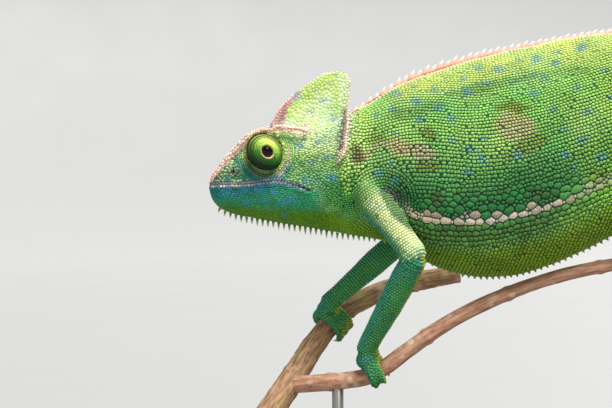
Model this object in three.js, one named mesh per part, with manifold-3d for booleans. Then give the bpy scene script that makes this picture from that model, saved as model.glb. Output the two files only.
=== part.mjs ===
/**
 * Veiled chameleon, adult female, life size, gripping a short cut length of forked branch that
 * two rods hold above a flat base. A still display model: every piece is fixed.
 *
 * Units are millimetres. +Z is up, the nose points towards -X and the animal's left side faces -Y.
 * The shapes are worked out in the animal's own frame, whose origin is the tip of the mouth; the
 * finished group is then moved so that its origin is the bottom centre of the whole model.
 */
import * as THREE from "three";
import { mergeVertices } from "three/addons/utils/BufferGeometryUtils.js";
import Module from "manifold-3d";

const wasm = await Module();
wasm.setup();

/* ---------------------------------------------------------------- driving dimensions */

const GAP = 0.3; // clearance between pieces that touch
const V = (x, y, z) => new THREE.Vector3(x, y, z);

// Cross-sections from the nose to the root of the tail:
// distance behind the nose, back, belly, half width, height of the widest line, and how full the
// section is above and below that line (1 is an ellipse, less is boxy, more is keeled).
const BODY = [
  [0, 1.8, -1.4, 1.5, 0.2, 0.8, 0.9],
  [0.8, 3.4, -4.3, 2.9, 0, 0.7, 0.9],
  [3.4, 6.7, -7.3, 4.4, -0.5, 0.62, 0.9],
  [7.5, 11.5, -9.1, 5.6, -1, 0.6, 1],
  [12.6, 16.2, -10.2, 6.8, -1, 0.6, 1],
  [18, 17.9, -11.1, 7.8, -1, 0.62, 1],
  [25, 17.4, -12.3, 9, -1, 0.7, 1],
  [33, 18, -13.6, 9.3, 0, 0.8, 1],
  [41, 20.8, -15.1, 8.6, 2, 0.95, 1],
  [49, 25.6, -16.2, 9.4, 3, 1.1, 1],
  [58, 30.6, -18.6, 11.6, 5, 1.15, 0.95],
  [68, 34.5, -24.2, 13.6, 5, 1.15, 0.95],
  [80, 38.1, -27.8, 15, 4, 1.15, 0.95],
  [94, 41.4, -26.9, 15.4, 6, 1.15, 0.95],
  [108, 44.2, -22, 14.6, 10, 1.15, 0.95],
  [121, 46, -15.7, 13, 14, 1.15, 0.95],
  [132, 44.4, -9.2, 11.2, 16, 1.1, 0.9],
  [142, 39.2, -3, 9.4, 16.5, 1.05, 0.9],
  [151, 31.4, 2, 7.8, 15.5, 1, 0.9],
  [159, 24.6, 4.8, 6.4, 14, 1, 0.95],
  [166, 19.6, 5.6, 5.4, 12.4, 1, 1],
];

// Places along the body where it is parted, and how finely it is turned.
const CUTS = { headToNeck: 42, neckToChest: 52, chestToBelly: 76, bellyToPelvis: 126 };
const BODY_SIDES = 18;
const BODY_RINGS = 36;

// The line of the mouth, nose to corner, and the back of the lower jaw below its corner.
const MOUTH = [[0, 0], [6.6, 0], [12.6, 0.3], [17.1, 0.9], [21.6, 1.2], [27.6, -0.6], [31.2, -1.8]];
const JAW_BACK = [[34, -6], [35.5, -17]];

// The bony ridge from the nose over the eye, on the right side.
const BROW = [[1, 1.4, 2.6], [3.6, 3, 6.2], [7.5, 4.3, 11], [12.6, 5.5, 15.6], [18, 6.4, 17.3],
  [24, 7, 17.1], [30.5, 7.2, 15.8]];
const BROW_RADIUS = 1.1;

// The casque, as level slices: height, front edge, rear edge, half thickness.
const CASQUE = [
  [13, 19, 41, 6.4],
  [17, 18.2, 41.6, 5.2],
  [20, 19.2, 42.2, 3.9],
  [24, 21.5, 42.6, 2.9],
  [28, 25.6, 42.9, 2.2],
  [31.5, 30.2, 43.2, 1.7],
  [33.8, 34.2, 42.2, 1.2],
  [34.8, 37.8, 41, 0.7],
];

// Eyes: the scaly turret and the small ball that shows in its opening.
const EYE = { centre: V(17.2, 5.6, 9.4), radius: 5.6, height: 6.4, opening: 1.7, tall: 1.08 };
const EYE_LOOK = V(0.06, 1, 0.06).normalize();

// Crest spines: where a row starts and ends behind the nose, pitch, and length at start, middle, end.
const DORSAL = { from: 49, to: 152, pitch: 3.3, lengths: [1.3, 1.8, 1.1, 0.8], width: 1.7, lean: 0.5,
  sides: 4 };
const GULAR = { from: 4, to: 51, pitch: 2.5, lengths: [1.1, 2.1, 0.9], width: 1.1, lean: 0.15, sides: 3 };

// The perch: a thick branch that rises away on the far side, and a twig that forks from it.
const BRANCH = [[17, 6, -71], [24, 10, -61], [33, 18, -48], [41, 24, -39.5], [52, 28, -34],
  [64, 30, -30.5], [78, 31.5, -28]];
const BRANCH_RADIUS = [4.2, 3.3, 2.8];
const TWIG = [[24, 10, -61], [36, 3.5, -59.5], [49, 0, -57], [60, 0, -49.5], [70, 0, -42.5], [80, 0, -37],
  [94, 0, -31], [108, 0, -26.6], [122, 0, -23.9], [140, 0, -21.8], [158, 0, -20.8]];
const TWIG_RADIUS = [2.7, 2.1, 1.7];

// Legs. Radii run down the upper and the lower length; toes are those in the outer and inner bundle.
// A leg has its shoulder or hip, its elbow or knee, the perch that the foot grips, and how far along it.
const ARM = { upper: [5.2, 4.9, 4.3, 4], lower: [3.9, 4.2, 4.2, 3.8, 3.4, 3.2], toes: [2, 3],
  names: ["upper_arm", "forearm", "hand"] };
const HIND = { upper: [5.8, 5.8, 5.1, 4.1], lower: [3.9, 4.4, 4.3, 3.6, 3.1, 3], toes: [3, 2],
  names: ["thigh", "shank", "foot"] };
const LEGS = {
  front_left: { ...ARM, root: V(46.5, -4.8, -1), bend: V(61.3, -15, -21.3), perch: "twig", at: 0.2 },
  front_right: { ...ARM, root: V(46.5, 4.8, -1), bend: V(62, 17.5, -14), perch: "branch", at: 0.46 },
  hind_left: { ...HIND, root: V(148, -4.6, 11), bend: V(127.5, -18.5, -3.5), perch: "twig", at: 0.83 },
  hind_right: { ...HIND, root: V(149, 4.6, 11), bend: V(133, 19, -5), perch: "twig", at: 0.925 },
};
const PALM = V(4.2, 3.9, 3.4); // half sizes along the perch, across it and up
const TOE = { radius: 1.45, pitch: 2.2, from: 22, to: 158, clawFrom: 0.8 };

// Tail: the run down from the body, then a flat coil.
const TAIL_LEAD = [[150, 17.5], [159, 14.7], [168, 11.2], [178, 5.6], [187.5, -3], [194, -12]];
const COIL = { x: 180.5, z: -22.5, outer: 17, inner: 4.2, start: 12, turns: 1.55, points: 26 };
const TAIL_RADIUS = [7.4, 5.2, 3.9, 2.9, 2, 1.1];
const TAIL_LENGTHS = { base: [0, 0.24], middle: [0.24, 0.44], coil_outer: [0.44, 0.62],
  coil_lower: [0.62, 0.8], tip: [0.8, 1] };

// Stand.
const BASE = { x: 101.5, length: 152, width: 92, corner: 18, thickness: 8, edge: 1.2, top: -84 };
const ROD = { radius: 1.8, front: V(39, 2.4, 0), rear: V(128, 0, 0) };

/* ---------------------------------------------------------------- helpers */

/** A smooth function through the rows of a table, read by row number; fractions fall between rows. */
function smoothTable(rows) {
  const width = rows[0].length;
  const fit = new THREE.CubicInterpolant(rows.map((_, i) => i), rows.flat(), width);
  return (row) => Array.from(fit.evaluate(THREE.MathUtils.clamp(row, 0, rows.length - 1)));
}

/** The value that a list of evenly spaced values has at a share of its length. */
function along(values, share) {
  const at = THREE.MathUtils.clamp(share, 0, 1) * (values.length - 1);
  const low = Math.min(Math.floor(at), values.length - 2);
  return THREE.MathUtils.lerp(values[low], values[low + 1], at - low);
}

/** A closed geometry as a manifold-3d solid, turned right side out if a mapping mirrored it. */
function solid(geometry) {
  const bare = new THREE.BufferGeometry();
  bare.setAttribute("position", geometry.getAttribute("position"));
  bare.setIndex(geometry.index);
  const merged = mergeVertices(bare, 1e-4);
  const triVerts = new Uint32Array(merged.index.array);
  const make = () =>
    new wasm.Manifold(new wasm.Mesh({
      numProp: 3,
      vertProperties: new Float32Array(merged.attributes.position.array),
      triVerts,
    }));
  const made = make();
  if (made.volume() > 0) return made;
  for (let i = 0; i < triVerts.length; i += 3) {
    [triVerts[i + 1], triVerts[i + 2]] = [triVerts[i + 2], triVerts[i + 1]];
  }
  return make();
}

/** The largest connected body of a solid, so that a cut leaves no crumbs. */
function largest(made) {
  return made.decompose().reduce((best, body) => (body.volume() > best.volume() ? body : best));
}

const joined = (solids) => solids.reduce((whole, piece) => whole.add(piece));
const cutBy = (made, tools) => tools.reduce((rest, tool) => rest.subtract(tool), made);

/** A closed skin over stations: place(around, along) gives a point, both arguments from 0 to 1. */
function wrapped(sides, rings, place) {
  const geometry = new THREE.SphereGeometry(1, sides, rings + 1);
  const { position, uv } = geometry.attributes;
  for (let i = 0; i < position.count; i++) {
    const row = Math.round((1 - uv.getY(i)) * (rings + 1));
    const pole = row === 0 || row === rings + 1;
    const share = THREE.MathUtils.clamp((row - 1) / (rings - 1), 0, 1);
    const point = place(pole ? null : uv.getX(i) * 2 * Math.PI, share);
    position.setXYZ(i, point.x, point.y, point.z);
  }
  return solid(geometry);
}

/**
 * A tube along a curve. radius(share) gives its radius; side is the direction that its width keeps
 * to, and wide how much wider than tall it is. round says how far each end bulges, in radii.
 */
function tube(curve, { radius, sides = 10, rings = 10, from = 0, to = 1, grow = 0, round = [0.5, 0.5],
  side = V(0, 1, 0), wide = 1 }) {
  return wrapped(sides, rings, (angle, share) => {
    const at = THREE.MathUtils.lerp(from, to, share);
    const point = curve.getPointAt(at);
    const forward = curve.getTangentAt(at);
    const across = side.clone().addScaledVector(forward, -side.dot(forward)).normalize();
    const up = across.clone().cross(forward);
    const r = radius(at) + grow;
    if (angle === null) {
      const bulge = share === 0 ? -(r * round[0] + grow) : r * round[1] + grow;
      return point.addScaledVector(forward, bulge);
    }
    return point
      .addScaledVector(across, Math.cos(angle) * r * wide)
      .addScaledVector(up, Math.sin(angle) * r);
  });
}

const spline = (points) => new THREE.CatmullRomCurve3(points.map((p) => V(...p)), false, "centripetal");

/** A box between two places on X, tall and wide enough to cut the whole animal. */
function slab(fromX, toX) {
  const box = new THREE.BoxGeometry(toX - fromX, 200, 300);
  box.translate((fromX + toX) / 2, 0, 0);
  return solid(box);
}

/** A spine: a slim cone from a root point along a direction, sunk into what carries it. */
function spine(root, direction, length, width, sides) {
  const sunk = 0.8;
  const cone = new THREE.ConeGeometry(width / 2, length + sunk, sides);
  cone.translate(0, (length + sunk) / 2 - sunk, 0);
  cone.applyQuaternion(new THREE.Quaternion().setFromUnitVectors(V(0, 1, 0), direction.normalize()));
  cone.translate(root.x, root.y, root.z);
  return solid(cone);
}

/* ---------------------------------------------------------------- head, trunk and crests */

const bodyRow = smoothTable(BODY);
const casqueRow = smoothTable(CASQUE);

/** The row of the body table that lies a distance behind the nose, found by halving. */
function rowAt(x) {
  let [low, high] = [0, BODY.length - 1];
  for (let i = 0; i < 30; i++) {
    const middle = (low + high) / 2;
    if (bodyRow(middle)[0] < x) low = middle;
    else high = middle;
  }
  return low;
}

/** Head and trunk in one, from the nose to the root of the tail. */
function wholeBody(grow = 0) {
  const last = BODY.length - 1;
  return wrapped(BODY_SIDES, BODY_RINGS, (angle, share) => {
    const [x, back, belly, halfWidth, widest, above, below] = bodyRow(share * last);
    if (angle === null) return V(share === 0 ? x - grow : x + grow, 0, (back + belly) / 2);
    const up = -Math.cos(angle);
    const out = Math.sin(angle);
    const reach = up > 0 ? back + grow - widest : widest - belly + grow;
    const power = up > 0 ? above : below;
    return V(x, Math.sign(out) * (halfWidth + grow) * Math.abs(out) ** power, widest + up * reach);
  });
}

/** The blade-like casque, wide where it rises from the skull and thin at its rim. */
function casque(grow = 0) {
  const last = CASQUE.length - 1;
  return wrapped(14, 10, (angle, share) => {
    const [z, front, rear, half] = casqueRow(share * last);
    const middle = (front + rear) / 2;
    if (angle === null) return V(middle, 0, z + (share === 0 ? -grow : grow + 0.2));
    const lengthwise = Math.cos(angle);
    const out = Math.sin(angle);
    return V(
      middle + Math.sign(lengthwise) * ((rear - front) / 2 + grow) * Math.abs(lengthwise) ** 0.8,
      Math.sign(out) * (half + grow) * Math.abs(out) ** 0.8,
      z,
    );
  });
}

/** The ridge over one eye; hand is 1 on the animal's right and -1 on its left. */
function brow(hand) {
  const path = spline(BROW.map(([x, y, z]) => [x, y * hand, z]));
  const radius = (share) => BROW_RADIUS * (0.55 + 0.45 * Math.sin(Math.PI * Math.min(share * 1.2, 1)));
  return tube(path, { radius, sides: 5, rings: 7 });
}

/** What lies below the line of the mouth, as one cutting block. */
function underMouth(grow = 0) {
  const shape = new THREE.Shape();
  shape.moveTo(-5, MOUTH[0][1] + grow);
  MOUTH.forEach(([x, z]) => shape.lineTo(x + (grow ? grow / 2 : 0), z + grow));
  JAW_BACK.forEach(([x, z]) => shape.lineTo(x + grow, z));
  shape.lineTo(JAW_BACK[1][0] + grow, -40);
  shape.lineTo(-5, -40);
  const depth = 60;
  const block = new THREE.ExtrudeGeometry(shape, { depth, bevelEnabled: false });
  block.translate(0, 0, -depth / 2);
  block.rotateX(Math.PI / 2);
  return solid(block);
}

/** A row of spines along the back or the throat; up is 1 for the back and -1 for the throat. */
function crest({ from, to, pitch, lengths, width, lean, sides }, up) {
  const spines = [];
  const column = up > 0 ? 1 : 2;
  for (let x = from; x <= to; x += pitch) {
    const here = bodyRow(rowAt(x));
    const ahead = bodyRow(rowAt(x + 1));
    const slope = (ahead[column] - here[column]) / (ahead[0] - here[0]);
    const outward = V(-slope, 0, 1).multiplyScalar(up).normalize();
    const direction = outward.add(V(lean, 0, 0));
    const length = along(lengths, (x - from) / (to - from));
    spines.push(spine(V(x, 0, here[column]), direction, length, width, sides));
  }
  return joined(spines);
}

/** An eye turret, turned round its axis as a stepped dome, or the ball in its opening. */
function eyePiece(hand, profile) {
  const lathe = new THREE.LatheGeometry(profile.map(([r, h]) => new THREE.Vector2(r, h)), 12);
  lathe.scale(1, 1, EYE.tall);
  const look = V(EYE_LOOK.x, EYE_LOOK.y * hand, EYE_LOOK.z);
  lathe.applyQuaternion(new THREE.Quaternion().setFromUnitVectors(V(0, 1, 0), look));
  lathe.translate(EYE.centre.x, EYE.centre.y * hand, EYE.centre.z);
  return solid(lathe);
}

const TURRET_PROFILE = [[0, -3], [EYE.radius * 0.9, -3], [EYE.radius, 0], [EYE.radius * 0.97, 1.6],
  [EYE.radius * 0.84, 3.4], [EYE.radius * 0.62, 4.9], [EYE.opening + 0.9, 5.9],
  [EYE.opening + GAP, EYE.height], [EYE.opening + GAP, 4.6], [0, 4.6]];
const BALL_PROFILE = [[0, 4.6 + GAP], [EYE.opening, 4.6 + GAP], [EYE.opening, 5.5],
  [EYE.opening * 0.75, 6.1], [0, EYE.height]];

/* ---------------------------------------------------------------- perch, legs and tail */

const PERCHES = {
  branch: { curve: spline(BRANCH), radius: (share) => along(BRANCH_RADIUS, share) },
  twig: { curve: spline(TWIG), radius: (share) => along(TWIG_RADIUS, share) },
};

function perchPiece(name, grow = 0) {
  const { curve, radius } = PERCHES[name];
  return tube(curve, { radius, sides: 8, rings: 14, grow, round: [0.05, 0.05] });
}

/** How a foot sits on its perch: along the perch, up out of the palm half way to the knee, and outwards. */
function gripOf({ perch, at, root, bend }) {
  const { curve, radius } = PERCHES[perch];
  const centre = curve.getPointAt(at);
  const lengthwise = curve.getTangentAt(at);
  const up = bend.clone().sub(centre).normalize().add(V(0, 0, 1));
  up.addScaledVector(lengthwise, -up.dot(lengthwise)).normalize();
  const out = lengthwise.clone().cross(up).multiplyScalar(-Math.sign(root.y));
  return { centre, lengthwise, up, out, radius: radius(at) };
}

/** Upper and lower length of a limb, and the palm that sits on the perch. */
function limbPieces(leg) {
  const grip = gripOf(leg);
  const palmCentre = grip.centre.clone().addScaledVector(grip.up, grip.radius + PALM.z * 0.75);
  const wrist = palmCentre.clone().addScaledVector(grip.up, PALM.z * 0.7);
  const upperPath = new THREE.QuadraticBezierCurve3(leg.root,
    leg.root.clone().lerp(leg.bend, 0.55).add(V(0, 0, 1)), leg.bend);
  const lowerPath = new THREE.LineCurve3(leg.bend, wrist);
  return {
    grip,
    upper: (grow) => tube(upperPath,
      { radius: (t) => along(leg.upper, t), sides: 8, rings: 6, round: [0.6, 0.9], grow }),
    lower: (grow) => tube(lowerPath, { radius: (t) => along(leg.lower, t), sides: 8, rings: 6, grow }),
    palm: (grow) => {
      const ball = new THREE.SphereGeometry(1, 8, 6);
      ball.scale(PALM.x + grow, PALM.y + grow, PALM.z + grow);
      ball.applyMatrix4(new THREE.Matrix4().makeBasis(grip.lengthwise, grip.out, grip.up));
      ball.translate(palmCentre.x, palmCentre.y, palmCentre.z);
      return solid(ball);
    },
  };
}

/** A bundle of toes that closes round one side of the perch, claws included. */
function toeBundle({ centre, lengthwise, up, out, radius }, count, sideways) {
  const reach = radius + TOE.radius + GAP;
  const toes = [];
  for (let toe = 0; toe < count; toe++) {
    const offset = (toe - (count - 1) / 2) * TOE.pitch;
    const points = [];
    for (let step = 0; step <= 6; step++) {
      const angle = THREE.MathUtils.degToRad(THREE.MathUtils.lerp(TOE.from, TOE.to - toe * 6, step / 6));
      points.push(centre.clone()
        .addScaledVector(lengthwise, offset * (1 + step * 0.06))
        .addScaledVector(up, Math.cos(angle) * reach)
        .addScaledVector(out, Math.sin(angle) * reach * sideways));
    }
    const path = new THREE.CatmullRomCurve3(points);
    const radiusAt = (t) => (t < TOE.clawFrom
      ? TOE.radius * (1 - 0.25 * t)
      : THREE.MathUtils.mapLinear(t, TOE.clawFrom, 1, TOE.radius * 0.45, 0.18));
    toes.push(tube(path, { radius: radiusAt, sides: 5, rings: 5, side: lengthwise }));
  }
  return joined(toes);
}

/** The tail's middle line: down from the body and round the coil. */
function tailPath() {
  const points = TAIL_LEAD.map(([x, z]) => V(x, 0, z));
  for (let i = 0; i <= COIL.points; i++) {
    const share = i / COIL.points;
    const angle = THREE.MathUtils.degToRad(COIL.start - share * COIL.turns * 360);
    const radius = THREE.MathUtils.lerp(COIL.outer, COIL.inner, share);
    points.push(V(COIL.x + radius * Math.cos(angle), 0, COIL.z + radius * Math.sin(angle)));
  }
  return new THREE.CatmullRomCurve3(points, false, "centripetal");
}

/* ---------------------------------------------------------------- stand */

function basePlate() {
  const { length, width, corner, thickness, edge } = BASE;
  const [x, y] = [length / 2 - edge, width / 2 - edge];
  const shape = new THREE.Shape();
  shape.moveTo(-x + corner, -y);
  shape.lineTo(x - corner, -y);
  shape.absarc(x - corner, -y + corner, corner, -Math.PI / 2, 0);
  shape.absarc(x - corner, y - corner, corner, 0, Math.PI / 2);
  shape.absarc(-x + corner, y - corner, corner, Math.PI / 2, Math.PI);
  shape.absarc(-x + corner, -y + corner, corner, Math.PI, 1.5 * Math.PI);
  const plate = new THREE.ExtrudeGeometry(shape, { depth: thickness - 2 * edge, bevelThickness: edge,
    bevelSize: edge, bevelSegments: 1, curveSegments: 3 });
  plate.translate(BASE.x, 0, BASE.top - thickness + edge);
  return solid(plate);
}

/** A rod from the base up into the perch above it, its end shaped to the perch. */
function rod(foot, perchName, grownPerch) {
  const { curve, radius } = PERCHES[perchName];
  let share = 0;
  while (share < 1 && curve.getPointAt(share).x < foot.x) share += 0.01;
  const top = curve.getPointAt(share).z - radius(share) * 0.3;
  const bottom = BASE.top + GAP;
  const bar = new THREE.CylinderGeometry(ROD.radius, ROD.radius, top - bottom, 14);
  bar.rotateX(Math.PI / 2);
  bar.translate(foot.x, foot.y, (top + bottom) / 2);
  return largest(solid(bar).subtract(grownPerch));
}

/* ---------------------------------------------------------------- finishes and assembly */

const FINISH = {
  skin: { color: 0x5f9e2e, roughness: 0.6, metalness: 0 },
  throat: { color: 0x3d9350, roughness: 0.6, metalness: 0 },
  casque: { color: 0xa9c765, roughness: 0.6, metalness: 0 },
  turret: { color: 0x6fae34, roughness: 0.5, metalness: 0 },
  pupil: { color: 0x0a0708, roughness: 0.08, metalness: 0 },
  limb: { color: 0x4d9a52, roughness: 0.6, metalness: 0 },
  bark: { color: 0x9a6f55, roughness: 0.8, metalness: 0 },
  base: { color: 0x2a2320, roughness: 0.45, metalness: 0 },
  rod: { color: 0x9c9a94, roughness: 0.3, metalness: 1 },
};

const model = new THREE.Group();

function addPiece(name, made, finish) {
  const { vertProperties, triVerts } = largest(made).getMesh();
  const geometry = new THREE.BufferGeometry();
  geometry.setAttribute("position", new THREE.BufferAttribute(new Float32Array(vertProperties), 3));
  geometry.setIndex(new THREE.BufferAttribute(new Uint32Array(triVerts), 1));
  geometry.computeVertexNormals();
  const mesh = new THREE.Mesh(geometry, new THREE.MeshStandardMaterial(FINISH[finish]));
  mesh.name = name;
  model.add(mesh);
}

function addTrunk(grownEyes) {
  const body = wholeBody();
  const crests = joined([crest(DORSAL, 1), crest(GULAR, -1)]);
  const whole = joined([body, brow(1), brow(-1), crests]);
  const { headToNeck, neckToChest, chestToBelly, bellyToPelvis } = CUTS;
  const half = GAP / 2;
  const head = whole.intersect(slab(-10, headToNeck - half));
  const skull = cutBy(head, [underMouth(GAP), casque(GAP), ...grownEyes]);
  addPiece("head", skull, "skin");
  addPiece("lower_jaw", head.intersect(underMouth()), "throat");
  addPiece("casque", cutBy(casque(), grownEyes), "casque");
  const neck = whole.intersect(slab(headToNeck + half, neckToChest - half));
  addPiece("neck", neck.subtract(casque(GAP)), "skin");
  addPiece("chest", whole.intersect(slab(neckToChest + half, chestToBelly - half)), "skin");
  addPiece("belly", whole.intersect(slab(chestToBelly + half, bellyToPelvis - half)), "skin");
  addPiece("pelvis", whole.intersect(slab(bellyToPelvis + half, 200)), "skin");
}

function addEyes() {
  for (const [name, hand] of [["left", -1], ["right", 1]]) {
    addPiece(`eye_turret_${name}`, eyePiece(hand, TURRET_PROFILE), "turret");
    addPiece(`eyeball_${name}`, eyePiece(hand, BALL_PROFILE), "pupil");
  }
}

function addLegs(grownBody, grownPerches) {
  for (const [leg, facts] of Object.entries(LEGS)) {
    const { grip, upper, lower, palm } = limbPieces(facts);
    const [upperName, lowerName, palmName] = facts.names.map((name) => `${name}_${leg}`);
    addPiece(upperName, upper(0).subtract(grownBody), "limb");
    addPiece(lowerName, cutBy(lower(0), [upper(GAP), grownBody]), "limb");
    addPiece(palmName, cutBy(palm(0), [lower(GAP), ...grownPerches]), "limb");
    const [outer, inner] = facts.toes;
    const cutters = [lower(GAP), palm(GAP), ...grownPerches];
    addPiece(`toes_outer_${leg}`, cutBy(toeBundle(grip, outer, 1), cutters), "limb");
    addPiece(`toes_inner_${leg}`, cutBy(toeBundle(grip, inner, -1), cutters), "limb");
  }
}

function addTail(grownBody) {
  const path = tailPath();
  const radius = (share) => along(TAIL_RADIUS, share ** 0.8);
  const lengthGap = GAP / 2 / path.getLength();
  for (const [name, [from, to]] of Object.entries(TAIL_LENGTHS)) {
    const piece = tube(path, { radius, sides: 9, rings: Math.round((to - from) * 48), from: from + lengthGap,
      to: to - lengthGap, round: [0, to === 1 ? 0.6 : 0], wide: 0.85 });
    addPiece(`tail_${name}`, name === "base" ? piece.subtract(grownBody) : piece, "skin");
  }
}

function addPerchAndStand() {
  addPiece("perch_branch", perchPiece("branch"), "bark");
  addPiece("perch_twig", perchPiece("twig").subtract(perchPiece("branch", GAP)), "bark");
  addPiece("stand_base", basePlate(), "base");
  addPiece("stand_rod_front", rod(ROD.front, "twig", perchPiece("twig", GAP)), "rod");
  addPiece("stand_rod_rear", rod(ROD.rear, "twig", perchPiece("twig", GAP)), "rod");
}

addTrunk([-1, 1].map((hand) => eyePiece(hand, TURRET_PROFILE.map(([r, h]) => [r ? r + GAP : 0, h]))));
addEyes();
addLegs(wholeBody(GAP), ["branch", "twig"].map((name) => perchPiece(name, GAP)));
addTail(wholeBody(GAP));
addPerchAndStand();

// Stand the model on the floor, with its origin at the bottom centre.
const box = new THREE.Box3().setFromObject(model);
const centre = box.getCenter(new THREE.Vector3());
model.position.set(-centre.x, -centre.y, -box.min.z);
const part = new THREE.Group().add(model);
part.updateMatrixWorld(true);

export default part;
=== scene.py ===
"""The looks of a life-size display model of a veiled chameleon that grips a cut twig.

The functions work in millimetres in the animal's own frame: the origin is the tip of the mouth, +X runs
towards the tail, -Y is the animal's left side and +Z is up. in_row() turns places into the row's metres.
"""

import math

import bmesh
import bpy
import numpy as np
from bpy.props import FloatProperty, FloatVectorProperty, IntProperty, PointerProperty
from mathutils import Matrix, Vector
from mathutils.bvhtree import BVHTree
from mathutils.kdtree import KDTree


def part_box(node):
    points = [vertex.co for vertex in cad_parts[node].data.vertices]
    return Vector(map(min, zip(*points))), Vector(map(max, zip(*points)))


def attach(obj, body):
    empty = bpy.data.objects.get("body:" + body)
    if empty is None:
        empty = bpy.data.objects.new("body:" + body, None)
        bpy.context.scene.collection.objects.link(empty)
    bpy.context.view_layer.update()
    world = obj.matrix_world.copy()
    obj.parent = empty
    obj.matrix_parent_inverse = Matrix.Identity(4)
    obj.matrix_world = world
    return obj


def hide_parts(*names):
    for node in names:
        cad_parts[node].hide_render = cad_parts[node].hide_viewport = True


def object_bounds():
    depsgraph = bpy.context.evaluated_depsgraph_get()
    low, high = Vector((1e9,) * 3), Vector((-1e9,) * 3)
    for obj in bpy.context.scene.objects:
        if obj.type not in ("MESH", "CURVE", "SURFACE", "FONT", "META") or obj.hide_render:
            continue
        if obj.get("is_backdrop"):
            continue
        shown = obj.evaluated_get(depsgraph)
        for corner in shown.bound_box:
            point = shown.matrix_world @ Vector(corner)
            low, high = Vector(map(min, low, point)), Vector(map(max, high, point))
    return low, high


bl_info = {
    "name": "Veiled Chameleon Display Model",
    "version": (1, 0, 0),
    "blender": (4, 5, 0),
    "location": "3D View > Sidebar > Chameleon",
    "description": "Builds the skin, scales, eyes, crests, perch and stand of a life-size chameleon",
    "category": "Object",
}

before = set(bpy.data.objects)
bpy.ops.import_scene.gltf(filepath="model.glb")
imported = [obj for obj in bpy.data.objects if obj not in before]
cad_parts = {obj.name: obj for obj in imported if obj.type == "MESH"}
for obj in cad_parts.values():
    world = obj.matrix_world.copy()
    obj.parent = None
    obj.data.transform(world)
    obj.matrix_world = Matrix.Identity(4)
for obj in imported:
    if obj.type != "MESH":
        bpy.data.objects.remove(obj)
CAD_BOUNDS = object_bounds()
BASE_LOW, BASE_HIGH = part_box("stand_base")

MM = 0.001
BASE_MIDDLE = (101.5, 0, -84)  # the middle of the base's top, in the animal's frame
BASE_TOP = np.array([(BASE_LOW.x + BASE_HIGH.x) / 2, (BASE_LOW.y + BASE_HIGH.y) / 2, BASE_HIGH.z])
SHIFT = BASE_TOP / MM - np.array(BASE_MIDDLE)
COAT_DEPTH = 0.35  # how far the skin lies inside the solids, so that the scales reach them

# ------------------------------------------------------------------ the animal's measures

# Cross-sections from the nose to the root of the tail: distance behind the nose, back, belly, half
# width, height of the widest line, and how full the section is above and below that line.
BODY = [
    (0, 1.8, -1.4, 1.5, 0.2, 0.8, 0.9),
    (0.8, 3.4, -4.3, 2.9, 0, 0.7, 0.9),
    (3.4, 6.7, -7.3, 4.4, -0.5, 0.62, 0.9),
    (7.5, 11.5, -9.1, 5.6, -1, 0.6, 1),
    (12.6, 16.2, -10.2, 6.8, -1, 0.6, 1),
    (18, 17.9, -11.1, 7.8, -1, 0.62, 1),
    (25, 17.4, -12.3, 9, -1, 0.7, 1),
    (33, 18, -13.6, 9.3, 0, 0.8, 1),
    (41, 20.8, -15.1, 8.6, 2, 0.95, 1),
    (49, 25.6, -16.2, 9.4, 3, 1.1, 1),
    (58, 30.6, -18.6, 11.6, 5, 1.15, 0.95),
    (68, 34.5, -24.2, 13.6, 5, 1.15, 0.95),
    (80, 38.1, -27.8, 15, 4, 1.15, 0.95),
    (94, 41.4, -26.9, 15.4, 6, 1.15, 0.95),
    (108, 44.2, -22, 14.6, 10, 1.15, 0.95),
    (121, 46, -15.7, 13, 14, 1.15, 0.95),
    (132, 44.4, -9.2, 11.2, 16, 1.1, 0.9),
    (142, 39.2, -3, 9.4, 16.5, 1.05, 0.9),
    (151, 31.4, 2, 7.8, 15.5, 1, 0.9),
    (159, 24.6, 4.8, 6.4, 14, 1, 0.95),
    (166, 19.6, 5.6, 5.4, 12.4, 1, 1),
]
# The casque as level slices: height, front edge, rear edge, half thickness.
CASQUE = [
    (13, 19, 41, 6.4),
    (17, 18.2, 41.6, 5.2),
    (20, 19.2, 42.2, 3.9),
    (24, 21.5, 42.6, 2.9),
    (28, 25.6, 42.9, 2.2),
    (31.5, 30.2, 43.2, 1.7),
    (33.8, 34.2, 42.2, 1.2),
    (34.8, 37.8, 41, 0.7),
]
MOUTH = [(0, 0), (6.6, 0), (12.6, 0.3), (17.1, 0.9), (21.6, 1.2), (24.6, 0.3), (27.6, -0.6), (31.2, -1.8)]
BROW = [(1, 1.4, 2.6), (3.6, 3, 6.2), (7.5, 4.3, 11), (12.6, 5.5, 15.6), (18, 6.4, 17.3), (24, 7, 17.1),
        (30.5, 7.2, 15.8)]
CHEEK_EDGE = [(42.4, 3.2, 22), (41.8, 5.4, 18), (41.2, 7, 13.5), (40.9, 7.9, 10.5), (39.8, 8.4, 8),
              (38, 8.9, 6)]
LATERAL_LINE = [(57, -7.6), (62, -9.4), (67, -10.9), (76.5, -11.2), (86.5, -10.4), (91.5, -8.9), (97.4, -7.6),
                (102.2, -5.9), (107.7, -4), (112, -2), (121, 1.6), (136, 7), (150, 12)]
ARMPIT = (52, -5)
NOSTRIL = (7.8, 3.9)
EYE = np.array([17.2, 5.6, 9.4])  # the right eye's centre
EYE_LOOK = np.array([0.15, 1, 0.05])
EYE_OVAL = np.array([0.94, 1, 1.11])  # the turrets are taller than they are long
HEAD_REAR, NECK_FROM = 42, 44
RING_REACH = 6.2  # of the raised ring round each eye turret
VIEW_MIDDLE = np.array([29.4, -5.7])  # x and z that the camera looks at
VIEW_DISTANCE = 510

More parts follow.
